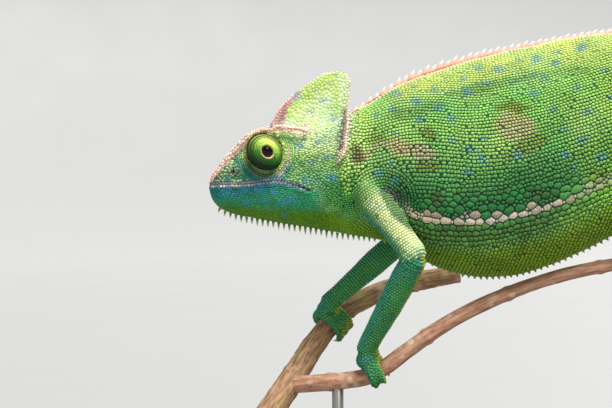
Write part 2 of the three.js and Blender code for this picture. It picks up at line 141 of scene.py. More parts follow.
BRANCH = [(17, 6, -71), (24, 10, -61), (33, 18, -48), (41, 24, -39.5), (52, 28, -34), (64, 30, -30.5),
          (78, 31.5, -28)]
BRANCH_RADII = [4.2, 3.3, 2.8]
TWIG = [(24, 10, -61), (36, 3.5, -59.5), (49, 0, -57), (60, 0, -49.5), (70, 0, -42.5), (80, 0, -37),
        (94, 0, -31), (108, 0, -26.6), (122, 0, -23.9), (140, 0, -21.8), (158, 0, -20.8)]
TWIG_RADII = [2.7, 2.1, 1.7]

ARM = {"upper": [5.2, 4.9, 4.3, 4], "lower": [3.9, 4.2, 4.2, 3.8, 3.4, 3.2], "toes": (2, 3),
       "names": ("upper_arm", "forearm", "hand")}
HIND = {"upper": [5.8, 5.8, 5.1, 4.1], "lower": [3.9, 4.4, 4.3, 3.6, 3.1, 3], "toes": (3, 2),
        "names": ("thigh", "shank", "foot")}
LEGS = {
    "front_left": dict(ARM, root=(46.5, -4.8, -1), bend=(61.3, -15, -21.3), perch="twig", at=0.2),
    "front_right": dict(ARM, root=(46.5, 4.8, -1), bend=(62, 17.5, -14), perch="branch", at=0.46),
    "hind_left": dict(HIND, root=(148, -4.6, 11), bend=(127.5, -18.5, -3.5), perch="twig", at=0.83),
    "hind_right": dict(HIND, root=(149, 4.6, 11), bend=(133, 19, -5), perch="twig", at=0.925),
}
PALM = np.array([4.2, 3.9, 3.4])
TOE_RADIUS = 1.45
TOE_PITCH = 2.2
TOE_SWEEP = (22, 158)
TOE_POINTS = 80
CLAW_FROM = 0.8
CLAW_RADII = [0.66, 0.5, 0.32, 0.14]

TAIL_LEAD = [(150, 17.5), (159, 14.7), (168, 11.2), (178, 5.6), (187.5, -3), (194, -12)]
COIL = {"x": 180.5, "z": -22.5, "outer": 17, "inner": 4.2, "start": 12, "turns": 1.55, "points": 26}
TAIL_RADII = [7.4, 5.2, 3.9, 2.9, 2, 1.1]
TAIL_BAND = 15

FLESH = (
    ["head", "lower_jaw", "casque", "neck", "chest", "belly", "pelvis"]
    + [f"tail_{part}" for part in ("base", "middle", "coil_outer", "coil_lower", "tip")]
    + [f"{part}_{leg}" for leg, facts in LEGS.items() for part in facts["names"]]
    + [f"toes_{side}_{leg}" for leg in LEGS for side in ("outer", "inner")]
)

BODY_KINDS = ("body", "brow", "cheek_edge", "eye_ring")

# ------------------------------------------------------------------ numbers and curves


def columns(*values):
    """Points, or pairs, put together from their columns."""
    return np.stack(np.broadcast_arrays(*values), axis=-1)


def round_axis(angle, reach=1, *rest):
    return columns(np.cos(angle) * reach, np.sin(angle) * reach, *rest)


def in_row(points):
    """Places of the animal's frame, in millimetres, as places of the row, in metres."""
    return (np.asarray(points, float) + SHIFT) * MM


def unit(vectors):
    vectors = np.asarray(vectors, float)
    return vectors / np.maximum(np.linalg.norm(vectors, axis=-1, keepdims=True), 1e-9)


def smooth_rows(rows, at):
    """A table read at fractional row numbers, along Catmull-Rom curves through its columns."""
    rows = np.asarray(rows, float)
    padded = np.vstack([2 * rows[0] - rows[1], rows, 2 * rows[-1] - rows[-2]])
    at = np.clip(at, 0, len(rows) - 1.000001)
    low = np.floor(at).astype(int)
    t = (at - low)[:, None]
    a, b, c, d = (padded[low + k] for k in range(4))
    return b + t * ((c - a) / 2 + t * (a - 2.5 * b + 2 * c - d / 2 + t * (-a + 3 * b - 3 * c + d) / 2))


def curve(points, count=240):
    """Evenly spaced points along the centripetal Catmull-Rom curve through the given ones."""
    given = np.asarray(points, float)
    given = np.vstack([2 * given[0] - given[1], given, 2 * given[-1] - given[-2]])
    dense = [given[1:2]]
    for a, b, c, d in zip(given, given[1:], given[2:], given[3:]):
        knots = np.cumsum([0] + [np.sqrt(np.linalg.norm(q - p)) for p, q in ((a, b), (b, c), (c, d))])
        t = np.linspace(knots[1], knots[2], 25)[1:, None]
        span = lambda p, q, i, j: (p * (knots[j] - t) + q * (t - knots[i])) / (knots[j] - knots[i])
        ab, bc, cd = span(a, b, 0, 1), span(b, c, 1, 2), span(c, d, 2, 3)
        dense.append(span(span(ab, bc, 0, 2), span(bc, cd, 1, 3), 1, 2))
    dense = np.vstack(dense)
    reach = np.concatenate([[0], np.cumsum(np.linalg.norm(np.diff(dense, axis=0), axis=1))])
    even = np.linspace(0, reach[-1], count)
    return np.stack([np.interp(even, reach, column) for column in dense.T], axis=1)


def spread(values, share):
    """The value that evenly spaced values have at a share of their length."""
    return np.interp(share, np.linspace(0, 1, len(values)), values)


def step(low, high, value):
    """0 below low, 1 above high, and smooth between."""
    t = np.clip((value - low) / (high - low), 0, 1)
    return t * t * (3 - 2 * t)


def hump(distance, width):
    return np.exp(-((distance / width) ** 2))


def noise(points, size, seed=0):
    """Smooth noise between -1 and 1, with lumps of about the given size."""
    at = np.asarray(points, float) / size + 31.7 * seed
    low = np.floor(at).astype(np.int64)
    t = at - low
    t = t * t * (3 - 2 * t)
    total = np.zeros(len(at))
    for corner in np.ndindex(2, 2, 2):
        cell = low + corner
        key = cell[:, 0] * 374761393 + cell[:, 1] * 668265263 + cell[:, 2] * 1274126177
        key = (key ^ (key >> 13)) * 1103515245
        key = (key ^ (key >> 16)) & 0xFFFF
        share = np.prod(np.where(corner, t, 1 - t), axis=1)
        total += share * (key / 32767.5 - 1)
    return total


# ------------------------------------------------------------------ meshes


def loft(sides, rings, place):
    """A closed skin: a sphere whose rings are moved by place(angle, share, pole)."""
    bm = bmesh.new()
    bmesh.ops.create_uvsphere(bm, u_segments=sides, v_segments=rings + 1, radius=1)
    at = np.array([v.co for v in bm.verts])
    row = np.arccos(np.clip(at[:, 2], -1, 1)) / math.pi * (rings + 1)
    share = np.clip((row - 1) / (rings - 1), 0, 1)
    places = place(np.arctan2(at[:, 1], at[:, 0]), share, (row < 0.5) | (row > rings + 0.5))
    for vert, point in zip(bm.verts, places):
        vert.co = point
    bmesh.ops.recalc_face_normals(bm, faces=bm.faces)
    return bm


def taken_apart(bm):
    """The places and the faces of a small form that is copied many times."""
    places = np.array([v.co for v in bm.verts])
    faces = [[v.index for v in face.verts] for face in bm.faces]
    bm.free()
    return places, faces


def as_mesh(bm, name="part"):
    mesh = bpy.data.meshes.new(name)
    bm.to_mesh(mesh)
    bm.free()
    return mesh


def add_piece(name, mesh, material, slot, *replaced):
    """Puts a finished mesh, already in the row's metres, into the scene."""
    obj = bpy.data.objects.new(name, mesh)
    bpy.context.scene.collection.objects.link(obj)
    mesh.materials.clear()
    mesh.materials.append(material)
    mesh.shade_smooth()
    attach(obj, "root")
    if replaced:
        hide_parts(*replaced)
    return obj


def store(items, name, values, kind=np.float32):
    items.foreach_set(name, np.asarray(values, kind).ravel())


def set_places(mesh, places):
    store(mesh.vertices, "co", places)
    mesh.update()


def move_to_row(mesh):
    set_places(mesh, in_row(read(mesh.vertices, "co", 3)))
    return mesh


def read(items, name, width=1, kind=np.float32):
    values = np.empty(len(items) * width, kind)
    items.foreach_get(name, values)
    return values.reshape(-1, width).astype(float) if width > 1 else values


def paint_points(mesh, **values):
    """Stores one number per vertex under each name, for the materials to read."""
    for name, numbers in values.items():
        store(mesh.attributes.new(name, "FLOAT", "POINT").data, "value", numbers)


def paint_colours(mesh, name, colours):
    opaque = np.column_stack([colours, np.ones(len(colours))])
    store(mesh.attributes.new(name, "FLOAT_COLOR", "POINT").data, "color", opaque)


class Tube:
    """A round length, such as a limb or a twig: its path, its radii and the frame along it."""

    def __init__(self, path, radii, side=(0, 1, 0), wide=1, ends=(0.5, 0.5)):
        self.path, self.wide, self.ends = np.asarray(path, float), wide, ends
        self.radii = spread(radii, np.linspace(0, 1, len(self.path)))
        self.forward = unit(np.gradient(self.path, axis=0))
        side = np.asarray(side, float)
        self.across = unit(side - (self.forward @ side)[:, None] * self.forward)
        self.up = np.cross(self.across, self.forward)
        self.length = np.linalg.norm(np.diff(self.path, axis=0), axis=1).sum()

    def at(self, share):
        """Centre, forward, across, up and radius at shares of the length."""
        row = np.asarray(share) * (len(self.path) - 1)
        low = np.clip(np.floor(row).astype(int), 0, len(self.path) - 2)
        t = (row - low)[:, None]
        mixed = [a[low] * (1 - t) + a[low + 1] * t for a in (self.path, self.forward, self.across, self.up)]
        return (*mixed, spread(self.radii, share))

    def loft(self, sides, rings, inset=0.0, relief=None):
        def place(angle, share, pole):
            centre, forward, across, up, radius = self.at(share)
            radius = radius - inset
            if relief:
                radius = radius + relief(angle, share) * ~pole
            tip = np.where(share < 0.5, -self.ends[0], self.ends[1]) * radius
            ring = across * (np.cos(angle) * radius * self.wide)[:, None]
            ring += up * (np.sin(angle) * radius)[:, None]
            return centre + np.where(pole[:, None], forward * tip[:, None], ring)

        return loft(sides, rings, place)

    def locate(self, points):
        """For each point, its share along the length, the angle round it and its distance from the path."""
        step_size = max(1, len(self.path) // 120)
        path = self.path[::step_size]
        apart = ((points[:, None] - path[None]) ** 2).sum(axis=2)
        near = apart.argmin(axis=1) * step_size
        offset = points - self.path[near]
        along = (offset * self.forward[near]).sum(axis=1)
        angle = np.arctan2((offset * self.up[near]).sum(axis=1), (offset * self.across[near]).sum(axis=1))
        return near / (len(self.path) - 1) + along / self.length, angle, np.sqrt(apart.min(axis=1))


# ------------------------------------------------------------------ where the body's parts lie

FINE_BODY = smooth_rows(BODY, np.linspace(0, len(BODY) - 1, 900))
TURNS = np.linspace(-math.pi / 2, math.pi / 2, 129)
SECTIONS_AT = np.arange(0, 166, 0.5)


def section(x):
    """Back, belly, half width, widest height, fullness above and fullness below at each x."""
    return [np.interp(x, FINE_BODY[:, 0], column) for column in FINE_BODY.T[1:]]


def arc_table():
    """How far each turn of each section lies from the widest line, measured over the skin."""
    back, belly, half, widest, above, below = (column[:, None] for column in section(SECTIONS_AT))
    up = np.sin(TURNS)[None]
    power = np.where(up > 0, above, below)
    y = half * np.cos(TURNS)[None].clip(0, 1) ** power
    z = up * np.where(up > 0, back - widest, widest - belly)
    steps = np.hypot(np.diff(y, axis=1), np.diff(z, axis=1))
    arc = np.concatenate([np.zeros_like(y[:, :1]), np.cumsum(steps, axis=1)], axis=1)
    return arc - arc[:, 64:65]


ARCS = arc_table()


def body_arc(points):
    """The distance over the skin from the widest line up (or, below it, down as a negative number)."""
    x, y, z = points.T
    back, belly, half, widest, above, below = section(x)
    upper = z > widest
    up = (z - widest) / np.where(upper, back - widest, widest - belly)
    out = np.clip(np.abs(y) / half, 0, 1.3) ** (1 / np.where(upper, above, below))
    turn = (np.arctan2(up, out) + math.pi / 2) / math.pi * (len(TURNS) - 1)
    row = np.clip(x / 0.5, 0, len(SECTIONS_AT) - 1.001)
    r, t = row.astype(int), np.clip(turn, 0, len(TURNS) - 1.001).astype(int)
    fr, ft = row - r, turn - t
    return (ARCS[r, t] * (1 - fr) * (1 - ft) + ARCS[r + 1, t] * fr * (1 - ft)
            + ARCS[r, t + 1] * (1 - fr) * ft + ARCS[r + 1, t + 1] * fr * ft)


def line_height(table, x):
    return np.interp(x, [row[0] for row in table], [row[1] for row in table])


def line_arc(x):
    """body_arc of the lateral line at each x."""
    z = line_height(LATERAL_LINE, x)
    back, belly, half, widest, above, below = section(x)
    up = np.clip((z - widest) / np.where(z > widest, back - widest, widest - belly), -1, 1)
    y = half * np.sqrt(1 - up**2) ** np.where(z > widest, above, below)
    return body_arc(columns(x, y, z))


LINE_AT = np.arange(0, 166, 1.0)
LINE_ARCS = line_arc(LINE_AT)


def above_line(points, arc):
    """The distance over the skin above the lateral line."""
    return arc - np.interp(points[:, 0], LINE_AT, LINE_ARCS)


def limb_tubes(leg):
    """The upper and lower length of a leg, and how its foot sits on the perch, as in the solids."""
    facts = LEGS[leg]
    path = curve(BRANCH if facts["perch"] == "branch" else TWIG)
    radii = BRANCH_RADII if facts["perch"] == "branch" else TWIG_RADII
    at = facts["at"] * (len(path) - 1)
    low = int(at)
    centre = path[low] + (path[low + 1] - path[low]) * (at - low)
    along = unit(path[low + 1] - path[low])
    root, bend = np.array(facts["root"], float), np.array(facts["bend"], float)
    up = unit(bend - centre) + (0, 0, 1)
    up = unit(up - (up @ along) * along)
    out = np.cross(along, up) * -np.sign(root[1])
    radius = float(spread(radii, facts["at"]))
    palm = centre + up * (radius + PALM[2] * 0.75)
    wrist = palm + up * PALM[2] * 0.7
    t = np.linspace(0, 1, 60)[:, None]
    middle = root + (bend - root) * 0.55 + (0, 0, 1)
    upper = Tube(root * (1 - t) ** 2 + middle * 2 * t * (1 - t) + bend * t**2, facts["upper"],
                 ends=(0.6, 0.9))
    lower = Tube(bend + (wrist - bend) * t, facts["lower"])
    return upper, lower, {"centre": centre, "along": along, "up": up, "out": out, "radius": radius,
                          "palm": palm}


def toe_tubes(leg, grip):
    """The toes of both bundles, each with the tube of its fleshy part and the path of its claw."""
    toes = []
    reach = grip["radius"] + TOE_RADIUS + 0.3
    for count, side in zip(LEGS[leg]["toes"], (1, -1)):
        for toe in range(count):
            offset = (toe - (count - 1) / 2) * TOE_PITCH
            steps = np.arange(7)[:, None]
            angle = np.radians(TOE_SWEEP[0] + (TOE_SWEEP[1] - 6 * toe - TOE_SWEEP[0]) * steps / 6)
            path = grip["centre"] + grip["along"] * offset * (1 + steps * 0.06)
            path = path + grip["up"] * np.cos(angle) * reach + grip["out"] * np.sin(angle) * reach * side
            path = curve(path, TOE_POINTS)
            fleshy = int(CLAW_FROM * TOE_POINTS)
            flesh = Tube(path[: fleshy + 2], [TOE_RADIUS, TOE_RADIUS, TOE_RADIUS * 0.8], grip["along"],
                         ends=(0.5, 0.8))
            toes.append((flesh, path[fleshy - 3 :]))
    return toes


def tail_tube():
    turn = np.linspace(0, 1, COIL["points"] + 1)
    angle = np.radians(COIL["start"] - turn * COIL["turns"] * 360)
    reach = COIL["outer"] + (COIL["inner"] - COIL["outer"]) * turn
    coil = columns(COIL["x"] + reach * np.cos(angle), 0, COIL["z"] + reach * np.sin(angle))
    lead = np.array([(x, 0, z) for x, z in TAIL_LEAD], float)
    path = curve(np.vstack([lead, coil]), 700)
    radii = spread(TAIL_RADII, np.linspace(0, 1, 200) ** 0.8)
    return Tube(path, radii, wide=0.85)


def ridge_tubes():
    """The bony ridges of the head: over and round each eye, and down the back of each cheek."""
    swell = [1.15 * (0.72 + 0.28 * math.sin(math.pi * min(1.2 * t, 1))) for t in np.linspace(0, 1, 12)]
    for hand in (-1, 1):
        brow = curve(np.array(BROW) * (1, hand, 1))
        sunk = np.interp(brow[:, 0], [14, 25], [1, 0.1])
        yield "brow", Tube(brow + sunk[:, None] * (0.3, 0, -0.85), swell)
        yield "cheek_edge", Tube(curve(np.array(CHEEK_EDGE) * (1, hand, 1)), [0.5, 0.75, 0.9, 0.9, 0.75, 0.5])
        yield "eye_ring", Tube(eye_ring(hand), [0.55, 0.55], side=(0, 1, 0))


def eye_ring(hand):
    """The middle of the raised ring round one eye turret."""
    turn = np.linspace(0, 2 * math.pi, 60)
    ring = columns(np.cos(turn), 0, np.sin(turn)) * EYE_OVAL * RING_REACH
    return EYE * (1, hand, 1) + (0, 1.75 * hand, 0) + ring


LIMBS = {leg: limb_tubes(leg) for leg in LEGS}
TOES = {leg: toe_tubes(leg, LIMBS[leg][2]) for leg in LEGS}
TAIL = tail_tube()
RIDGES = list(ridge_tubes())

# ------------------------------------------------------------------ the skin's shape


def body_loft(inset):
    def place(angle, share, pole):
        x, back, belly, half, widest, above, below = smooth_rows(BODY, share * (len(BODY) - 1)).T
        up, out = -np.cos(angle), np.sin(angle)
        reach = np.where(up > 0, back - inset - widest, widest - belly - inset)
        wide = (half - inset) * np.abs(out) ** np.where(up > 0, above, below)
        ring = columns(x, np.sign(out) * wide, widest + up * reach)
        ring[pole] = columns(x, 0, (back + belly) / 2)[pole]
        ring[:, 0] += inset * (1 - 2 * share)
        return ring

    return loft(96, 260, place)


def casque_loft(inset):
    def place(angle, share, pole):
        z, front, rear, half = smooth_rows(CASQUE, share * (len(CASQUE) - 1)).T
        lengthwise, out = np.cos(angle), np.sin(angle)
        long, wide = np.maximum((rear - front) / 2 - inset, 0.3), np.maximum(half - inset, 0.3)
        x = (front + rear) / 2 + np.sign(lengthwise) * long * np.abs(lengthwise) ** 0.8
        ring = columns(x, np.sign(out) * wide * np.abs(out) ** 0.8, z - inset * share)
        ring[pole] = columns((front + rear) / 2, 0, z)[pole]
        return ring

    return loft(64, 60, place)


def ball(centre, axes, inset=0.0):
    """A stretched ball; axes holds its three half lengths as vectors."""
    def place(angle, share, pole):
        rise = np.where(pole, np.sign(share - 0.5), np.cos(math.pi * (1 - share * 0.98 - 0.01)))
        reach = np.sqrt(1 - rise**2)
        local = round_axis(angle, reach, rise)
        half = np.linalg.norm(axes, axis=1)
        return np.asarray(centre) + local @ (np.asarray(axes) * ((half - inset) / half)[:, None])

    return loft(24, 16, place)


def flesh_parts():
    """Every length of flesh as a closed form that overlaps its neighbours, with the name of its kind."""
    yield "body", body_loft(COAT_DEPTH)
    yield "casque", casque_loft(COAT_DEPTH)
    for name, tube in RIDGES:
        yield name, tube.loft(12, 60, 0.15)
    for leg, (upper, lower, grip) in LIMBS.items():
        yield leg + "_upper", upper.loft(28, 50, COAT_DEPTH)
        yield leg + "_lower", lower.loft(28, 50, COAT_DEPTH)
        axes = np.array([grip["along"], grip["out"], grip["up"]]) * PALM[:, None]
        yield leg + "_foot", ball(grip["palm"], axes, COAT_DEPTH)
        shoulder = upper.at(np.array([0.3]))
        yield leg + "_upper", ball(shoulder[0][0], np.eye(3) * (spread(upper.radii, 0.3) + 0.4), COAT_DEPTH)
        for toe, _ in TOES[leg]:
            yield leg + "_foot", toe.loft(14, 24, 0.2)
    yield "tail", TAIL.loft(28, 420, COAT_DEPTH)


def relax(places, edges, rounds, share=0.5):
    """Moves each vertex part of the way to the middle of its neighbours, a few times."""
    count = np.bincount(edges.ravel(), minlength=len(places))[:, None]
    for _ in range(rounds):
        total = np.zeros_like(places)
        for k in range(3):
            total[:, k] = np.bincount(edges[:, 0], places[edges[:, 1], k], len(places))
            total[:, k] += np.bincount(edges[:, 1], places[edges[:, 0], k], len(places))
        places = places + share * (total / count - places)
    return places


def mouth_distance(points):
    """The height above the line of the mouth, and how much the line shows at each place."""
    x, y, z = points.T
    height = z - line_height(MOUTH, x)
    return height, step(-1, 0.2, x) * (1 - step(30.6, 31.6, x)) * step(-1.5, 0.4, np.abs(y) + x * 0.4)


def eye_distance(points):
    """The distance from the nearer eye's axis."""
    return np.hypot((points[:, 0] - EYE[0]) / EYE_OVAL[0], (points[:, 2] - EYE[2]) / EYE_OVAL[2])


def seen_from_side(points):
    """The x and z at which each place of a flank shows against the middle plane: near parts look larger."""
    larger = VIEW_DISTANCE / (VIEW_DISTANCE - np.abs(points[:, 1]))
    return VIEW_MIDDLE + (points[:, [0, 2]] - VIEW_MIDDLE) * larger[:, None]


def skin_relief(points, normals, parts):
    """How far each place of the skin stands out or in: lips, lids, nostrils, folds and wrinkles."""
    x, y, z = points.T
    on_body = np.isin(parts, BODY_KINDS)
    sideways = np.abs(normals[:, 1])
    height, shows = mouth_distance(points)
    shut = np.interp(x, [18, 28], [0.55, 1])
    relief = shows * (0.25 * hump(np.abs(height) - 0.85, 0.6) - 0.75 * shut * hump(height, 0.3 * shut))
    ring = eye_distance(points)
    relief -= 0.25 * step(0.2, 0.7, sideways) * hump(ring - 7.5, 0.5)
    relief -= 1.1 * hump(y, 3.4) * step(3, 9, x) * (1 - step(17, 23, x)) * step(0.3, 0.8, normals[:, 2])
    nostril = np.hypot(x - NOSTRIL[0], z - NOSTRIL[1])
    relief += 0.4 * hump(nostril - 1.1, 0.5) - 1 * hump(nostril, 0.55)
    edge = np.interp(z, [3, 6, 8, 10.5, 13.5, 18, 22], [37, 38, 39.8, 40.9, 41.2, 41.8, 42.4])
    fold = step(1, 6, z) * (1 - step(20, 25, z))
    relief -= 0.9 * fold * hump(x - edge - 1.7, 0.8)
    relief += 0.5 * fold * hump(x - edge - 3.3, 0.9)
    pit = np.hypot(x - ARMPIT[0] - 5, z - ARMPIT[1] + 1)
    relief -= 0.9 * hump(pit, 4.5) * step(5, 7, np.abs(y))
    relief += 0.28 * noise(points, 7, 3) + 0.1 * noise(points, 2.4, 4)
    relief *= on_body
    for leg, (_, lower, _) in LIMBS.items():
        on_leg = np.char.startswith(parts, leg)
        bend = np.linalg.norm(points - lower.path[0], axis=1)
        wrinkle = np.sin((points @ lower.forward[0]) * 3.2) * hump(bend - 3.5, 2.6)
        relief += on_leg * (0.12 * wrinkle + 0.12 * noise(points, 3, 5))
    relief += (parts == "casque") * 0.14 * noise(points, 3.5, 6)
    return relief + (parts == "tail") * 0.12 * noise(points, 4, 7)


def make_skin(voxel):
    """One closed skin over all the flesh, with the kind of part that each vertex lies on."""
    whole = bpy.data.meshes.new("flesh")
    joined = bmesh.new()
    labels, roots = [], []
    for name, bm in flesh_parts():
        part = as_mesh(bm)
        joined.from_mesh(part)
        roots.append(read(part.vertices, "co", 3))
        labels += [name] * len(part.vertices)
        bpy.data.meshes.remove(part)
    joined.to_mesh(whole)
    joined.free()
    carrier = bpy.data.objects.new("flesh", whole)
    bpy.context.scene.collection.objects.link(carrier)
    remesh = carrier.modifiers.new("one skin", "REMESH")
    remesh.mode = "VOXEL"
    remesh.voxel_size = voxel
    mesh = bpy.data.meshes.new_from_object(carrier.evaluated_get(bpy.context.evaluated_depsgraph_get()))
    bpy.data.objects.remove(carrier)
    roots, labels = np.vstack(roots), np.array(labels)
    tree = tree_of(roots)
    places = read(mesh.vertices, "co", 3)
    parts = labels[[tree.find(place)[1] for place in places]]
    edges = read(mesh.edges, "vertices", 2, np.int32).astype(int)
    places = relax(places, edges, 6)
    set_places(mesh, places)
    normals = read(mesh.vertices, "normal", 3)
    places = places + normals * skin_relief(places, normals, parts)[:, None]
    places = relax(places, edges, 1, 0.3)
    set_places(mesh, places)
    return mesh, parts


def tree_of(points):
    tree = KDTree(len(points))
    for index, point in enumerate(points):
        tree.insert(point, index)
    tree.balance()
    return tree


# ------------------------------------------------------------------ markings


def tint(red, green, blue):
    """A colour given as 0 to 255 screen values, as the linear values that materials use."""
    part = np.array([red, green, blue]) / 255
    return tuple(np.where(part <= 0.04045, part / 12.92, ((part + 0.055) / 1.055) ** 2.4))


def colour(name, description, *screen):
    return FloatVectorProperty(name=name, description=description, subtype="COLOR", size=3, min=0, max=1,
                               default=tint(*screen))


class ChameleonHide(bpy.types.PropertyGroup):
    """The colours of the hide."""

    back: colour("Back", "Pale yellow green along the back", 194, 212, 118)
    flank: colour("Flank", "Green of the upper flank", 134, 202, 100)
    emerald: colour("Emerald", "Deep green above the line along the flank", 16, 110, 54)
    belly: colour("Belly", "Olive green of the belly", 122, 156, 34)
    rump: colour("Rump", "Yellow green of the rear flank", 150, 198, 70)
    neck: colour("Neck", "Yellow green of the neck", 204, 228, 120)
    head: colour("Head", "Green of the cheek", 146, 190, 106)
    snout: colour("Snout", "Grey green of the snout", 150, 194, 150)
    jaw: colour("Jaw", "Sea green of the lower jaw", 44, 146, 102)
    throat: colour("Throat", "Olive green of the throat", 86, 136, 2)
    crown: colour("Crown", "Pale yellow green of the casque", 204, 222, 168)
    limb: colour("Limb", "Green of the legs", 88, 156, 92)
    # A painted highlight: the cream green on the side of the upper legs that faces the light.
    limb_pale: colour("Pale limb", "Cream green of the upper arms", 230, 240, 172)
    teal: colour("Teal", "Blue green under the eye and along the legs", 8, 124, 116)
    blue: colour("Blue", "Blue spots", 64, 136, 176)
    tan: colour("Tan", "Tan patches", 188, 166, 122)
    olive: colour("Olive", "Olive brown patches", 112, 118, 30)
    # Brown also gives painted shade: the dark lines in the mouth's seam, in the nostrils' pits and in the
    # grooves round the eye turrets.
    brown: colour("Brown", "Dark brown creases and spots", 74, 58, 30)
    rose: colour("Rose", "Cream and rose of the bony ridges", 240, 204, 188)
    orange: colour("Orange", "Orange edge under the brow", 228, 146, 104)
    cream: colour("Cream", "Cream plates along the flank", 196, 180, 160)
    lip: colour("Lip", "Lilac grey of the lips", 140, 140, 170)
    hollow: colour("Hollow", "Grey of the armpits", 96, 92, 88)
    # A painted shade: the tint that darkens the skin between the scales, where shade falls in the grooves.
    gap: colour("Gap", "Tint of the skin between the scales", 60, 108, 112)


def palette():
    hide = bpy.context.scene.chameleon.hide
    return {name: np.array(getattr(hide, name)) for name in ChameleonHide.__annotations__}


def ellipse(seen, x, z, wide, tall, lean=0.0, soft=0.3):
    """1 inside an ellipse seen from the side, fading to 0 over its edge."""
    turn = math.radians(lean)
    dx, dz = seen[:, 0] - x, seen[:, 1] - z
    along, across = dx * math.cos(turn) + dz * math.sin(turn), dz * math.cos(turn) - dx * math.sin(turn)
    reach = np.hypot(along / (wide / 2), across / (tall / 2))
    return 1 - step(1 - soft, 1 + soft, reach)


# Patches on both flanks: colour, strength, middle, size and lean in degrees.
PATCHES = [
    ("tan", 0.75, 92, 17.5, 12, 8, -8), ("olive", 0.75, 91.5, 23.2, 11, 3, 0),
    ("olive", 0.6, 97, 12.5, 10, 5, 25), ("olive", 0.45, 91, 9.5, 6, 3, 20),
    ("olive", 0.6, 66, 15.2, 5, 4.5, 0), ("olive", 0.65, 66, 5.6, 7, 4.5, 0),
    ("olive", 0.5, 50, 13.5, 6, 3.5, 20), ("brown", 0.5, 68, -4.2, 4.2, 4.2, 0),
    ("brown", 0.35, 99, -3, 6, 3.6, 0), ("brown", 0.35, 88.5, -1.5, 4, 2.4, 0),
    ("tan", 0.85, 60.5, 10.5, 17, 5, -12), ("tan", 0.75, 47.5, 9.6, 11, 2, 25),
    ("brown", 0.75, 44.3, 9.5, 3.6, 6, 15), ("olive", 0.45, 117, 2.5, 8, 4, 30),
    ("brown", 0.3, 95, -17, 6, 3, 60), ("emerald", 0.45, 84, 29.5, 30, 3.4, 14),
    ("emerald", 0.35, 63, 22.5, 18, 4, 12), ("emerald", 0.35, 108, 34, 16, 3, 8),
    ("olive", 0.55, 128, 24, 11, 6, 10), ("tan", 0.45, 133, 30, 9, 5, 10),
    ("emerald", 0.35, 122, 12, 12, 8, 40),
]
# Blue spots on the flanks, as places seen from the side.
BLUE_SPOTS = [
    (80.8, 34.9), (87.3, 34.7), (93.3, 37.4), (98.6, 37.6), (104, 36.5), (105.1, 40.3), (112.1, 40.9),
    (97.8, 32.8), (100.8, 32), (84.1, 30.6), (91.4, 30.4), (78.2, 27.7), (76.3, 31.7), (68.2, 28.5),
    (62.5, 25.2), (61.7, 29.3), (56.3, 27.4), (55.2, 22.8), (50.6, 20.6), (63.6, 19.6), (55.8, 15.2),
    (69.5, 23.6), (72.8, 19.8), (80.3, 23.1), (98.1, 27.4), (110.3, 29), (103.5, 22.5), (113.8, 22),
    (106.7, 16.6), (112.4, 13.4), (107.3, 9.3), (110, 4.7), (92.7, 9), (82.7, 13.9), (73.3, 13.6),
    (78.7, 10.7), (72.8, 6.9), (82.5, 7.7), (78.2, 3.6), (55.2, 6.6), (51.2, 3.6), (56, 1.5), (46, 0),
    (119, 34), (124, 39), (128, 32), (121, 26), (134, 36), (137, 24), (141, 30), (126, 16), (133, 12),
    (144, 17), (118, 8), (46, -6), (31.5, 7), (27.5, 12), (29, 1.5), (37, 2), (35.5, 8.5), (33, 13),
    (27, 26.5), (32, 29), (35, 25.5), (30.5, 22), (36.5, 30.5), (38, 20), (29, 18.5), (22.5, -5.2),
    (16.8, -4.6), (20, -2.2), (15.2, -1.1), (11.7, -1.1), (7.5, -2.7), (5.3, -1.9), (23, -9.3), (11.5, -5.4),
    (24.3, -4.4),
]


def blue_spots(points):
    """How blue each place is: the listed spots, each a cluster a few scales wide."""
    tree = tree_of(np.array([(x, z, 0) for x, z in BLUE_SPOTS]))
    ragged = at_side(points, 1.2, 11, 0.7)
    near = [tree.find((x, z, 0)) for x, z in ragged]
    offset = ragged - np.array([place[:2] for place, _, _ in near])
    size = 1 + 0.3 * np.sin(np.array([index for _, index, _ in near]) * 2.4)
    size = size * np.where(points[:, 0] < HEAD_REAR, 0.85, 1)
    return 1 - step(0.5, 1.4, np.hypot(offset[:, 0] / 1.4, offset[:, 1]) / size)


def layer(under, share, over):
    return under + np.clip(share, 0, 1)[:, None] * (over - under)


class Paint:
    """The colours of a set of places, built up in layers of the hide's colours."""

    def __init__(self, points, ground, mixed=None):
        self.hues = palette()
        ground = self.hues[ground] if mixed is None else (self.hues[ground] + self.hues[mixed]) / 2
        self.coat = np.tile(ground, (len(points), 1))

    def lay(self, name, share, tinge=1):
        self.cover(share, self.hues[name] * tinge)

    def cover(self, share, colours):
        self.coat = layer(self.coat, share, colours)

    def tinge(self, factors):
        self.coat = self.coat * factors


def at_side(points, size, seed, ragged):
    """The places as seen from the side, shifted a little so that outlines follow the scales."""
    return seen_from_side(points) + columns(noise(points, size, seed), noise(points, size, seed + 1)) * ragged


def heights_of_brow(x):
    return line_height([(at_x, at_z) for at_x, _, at_z in BROW], x)


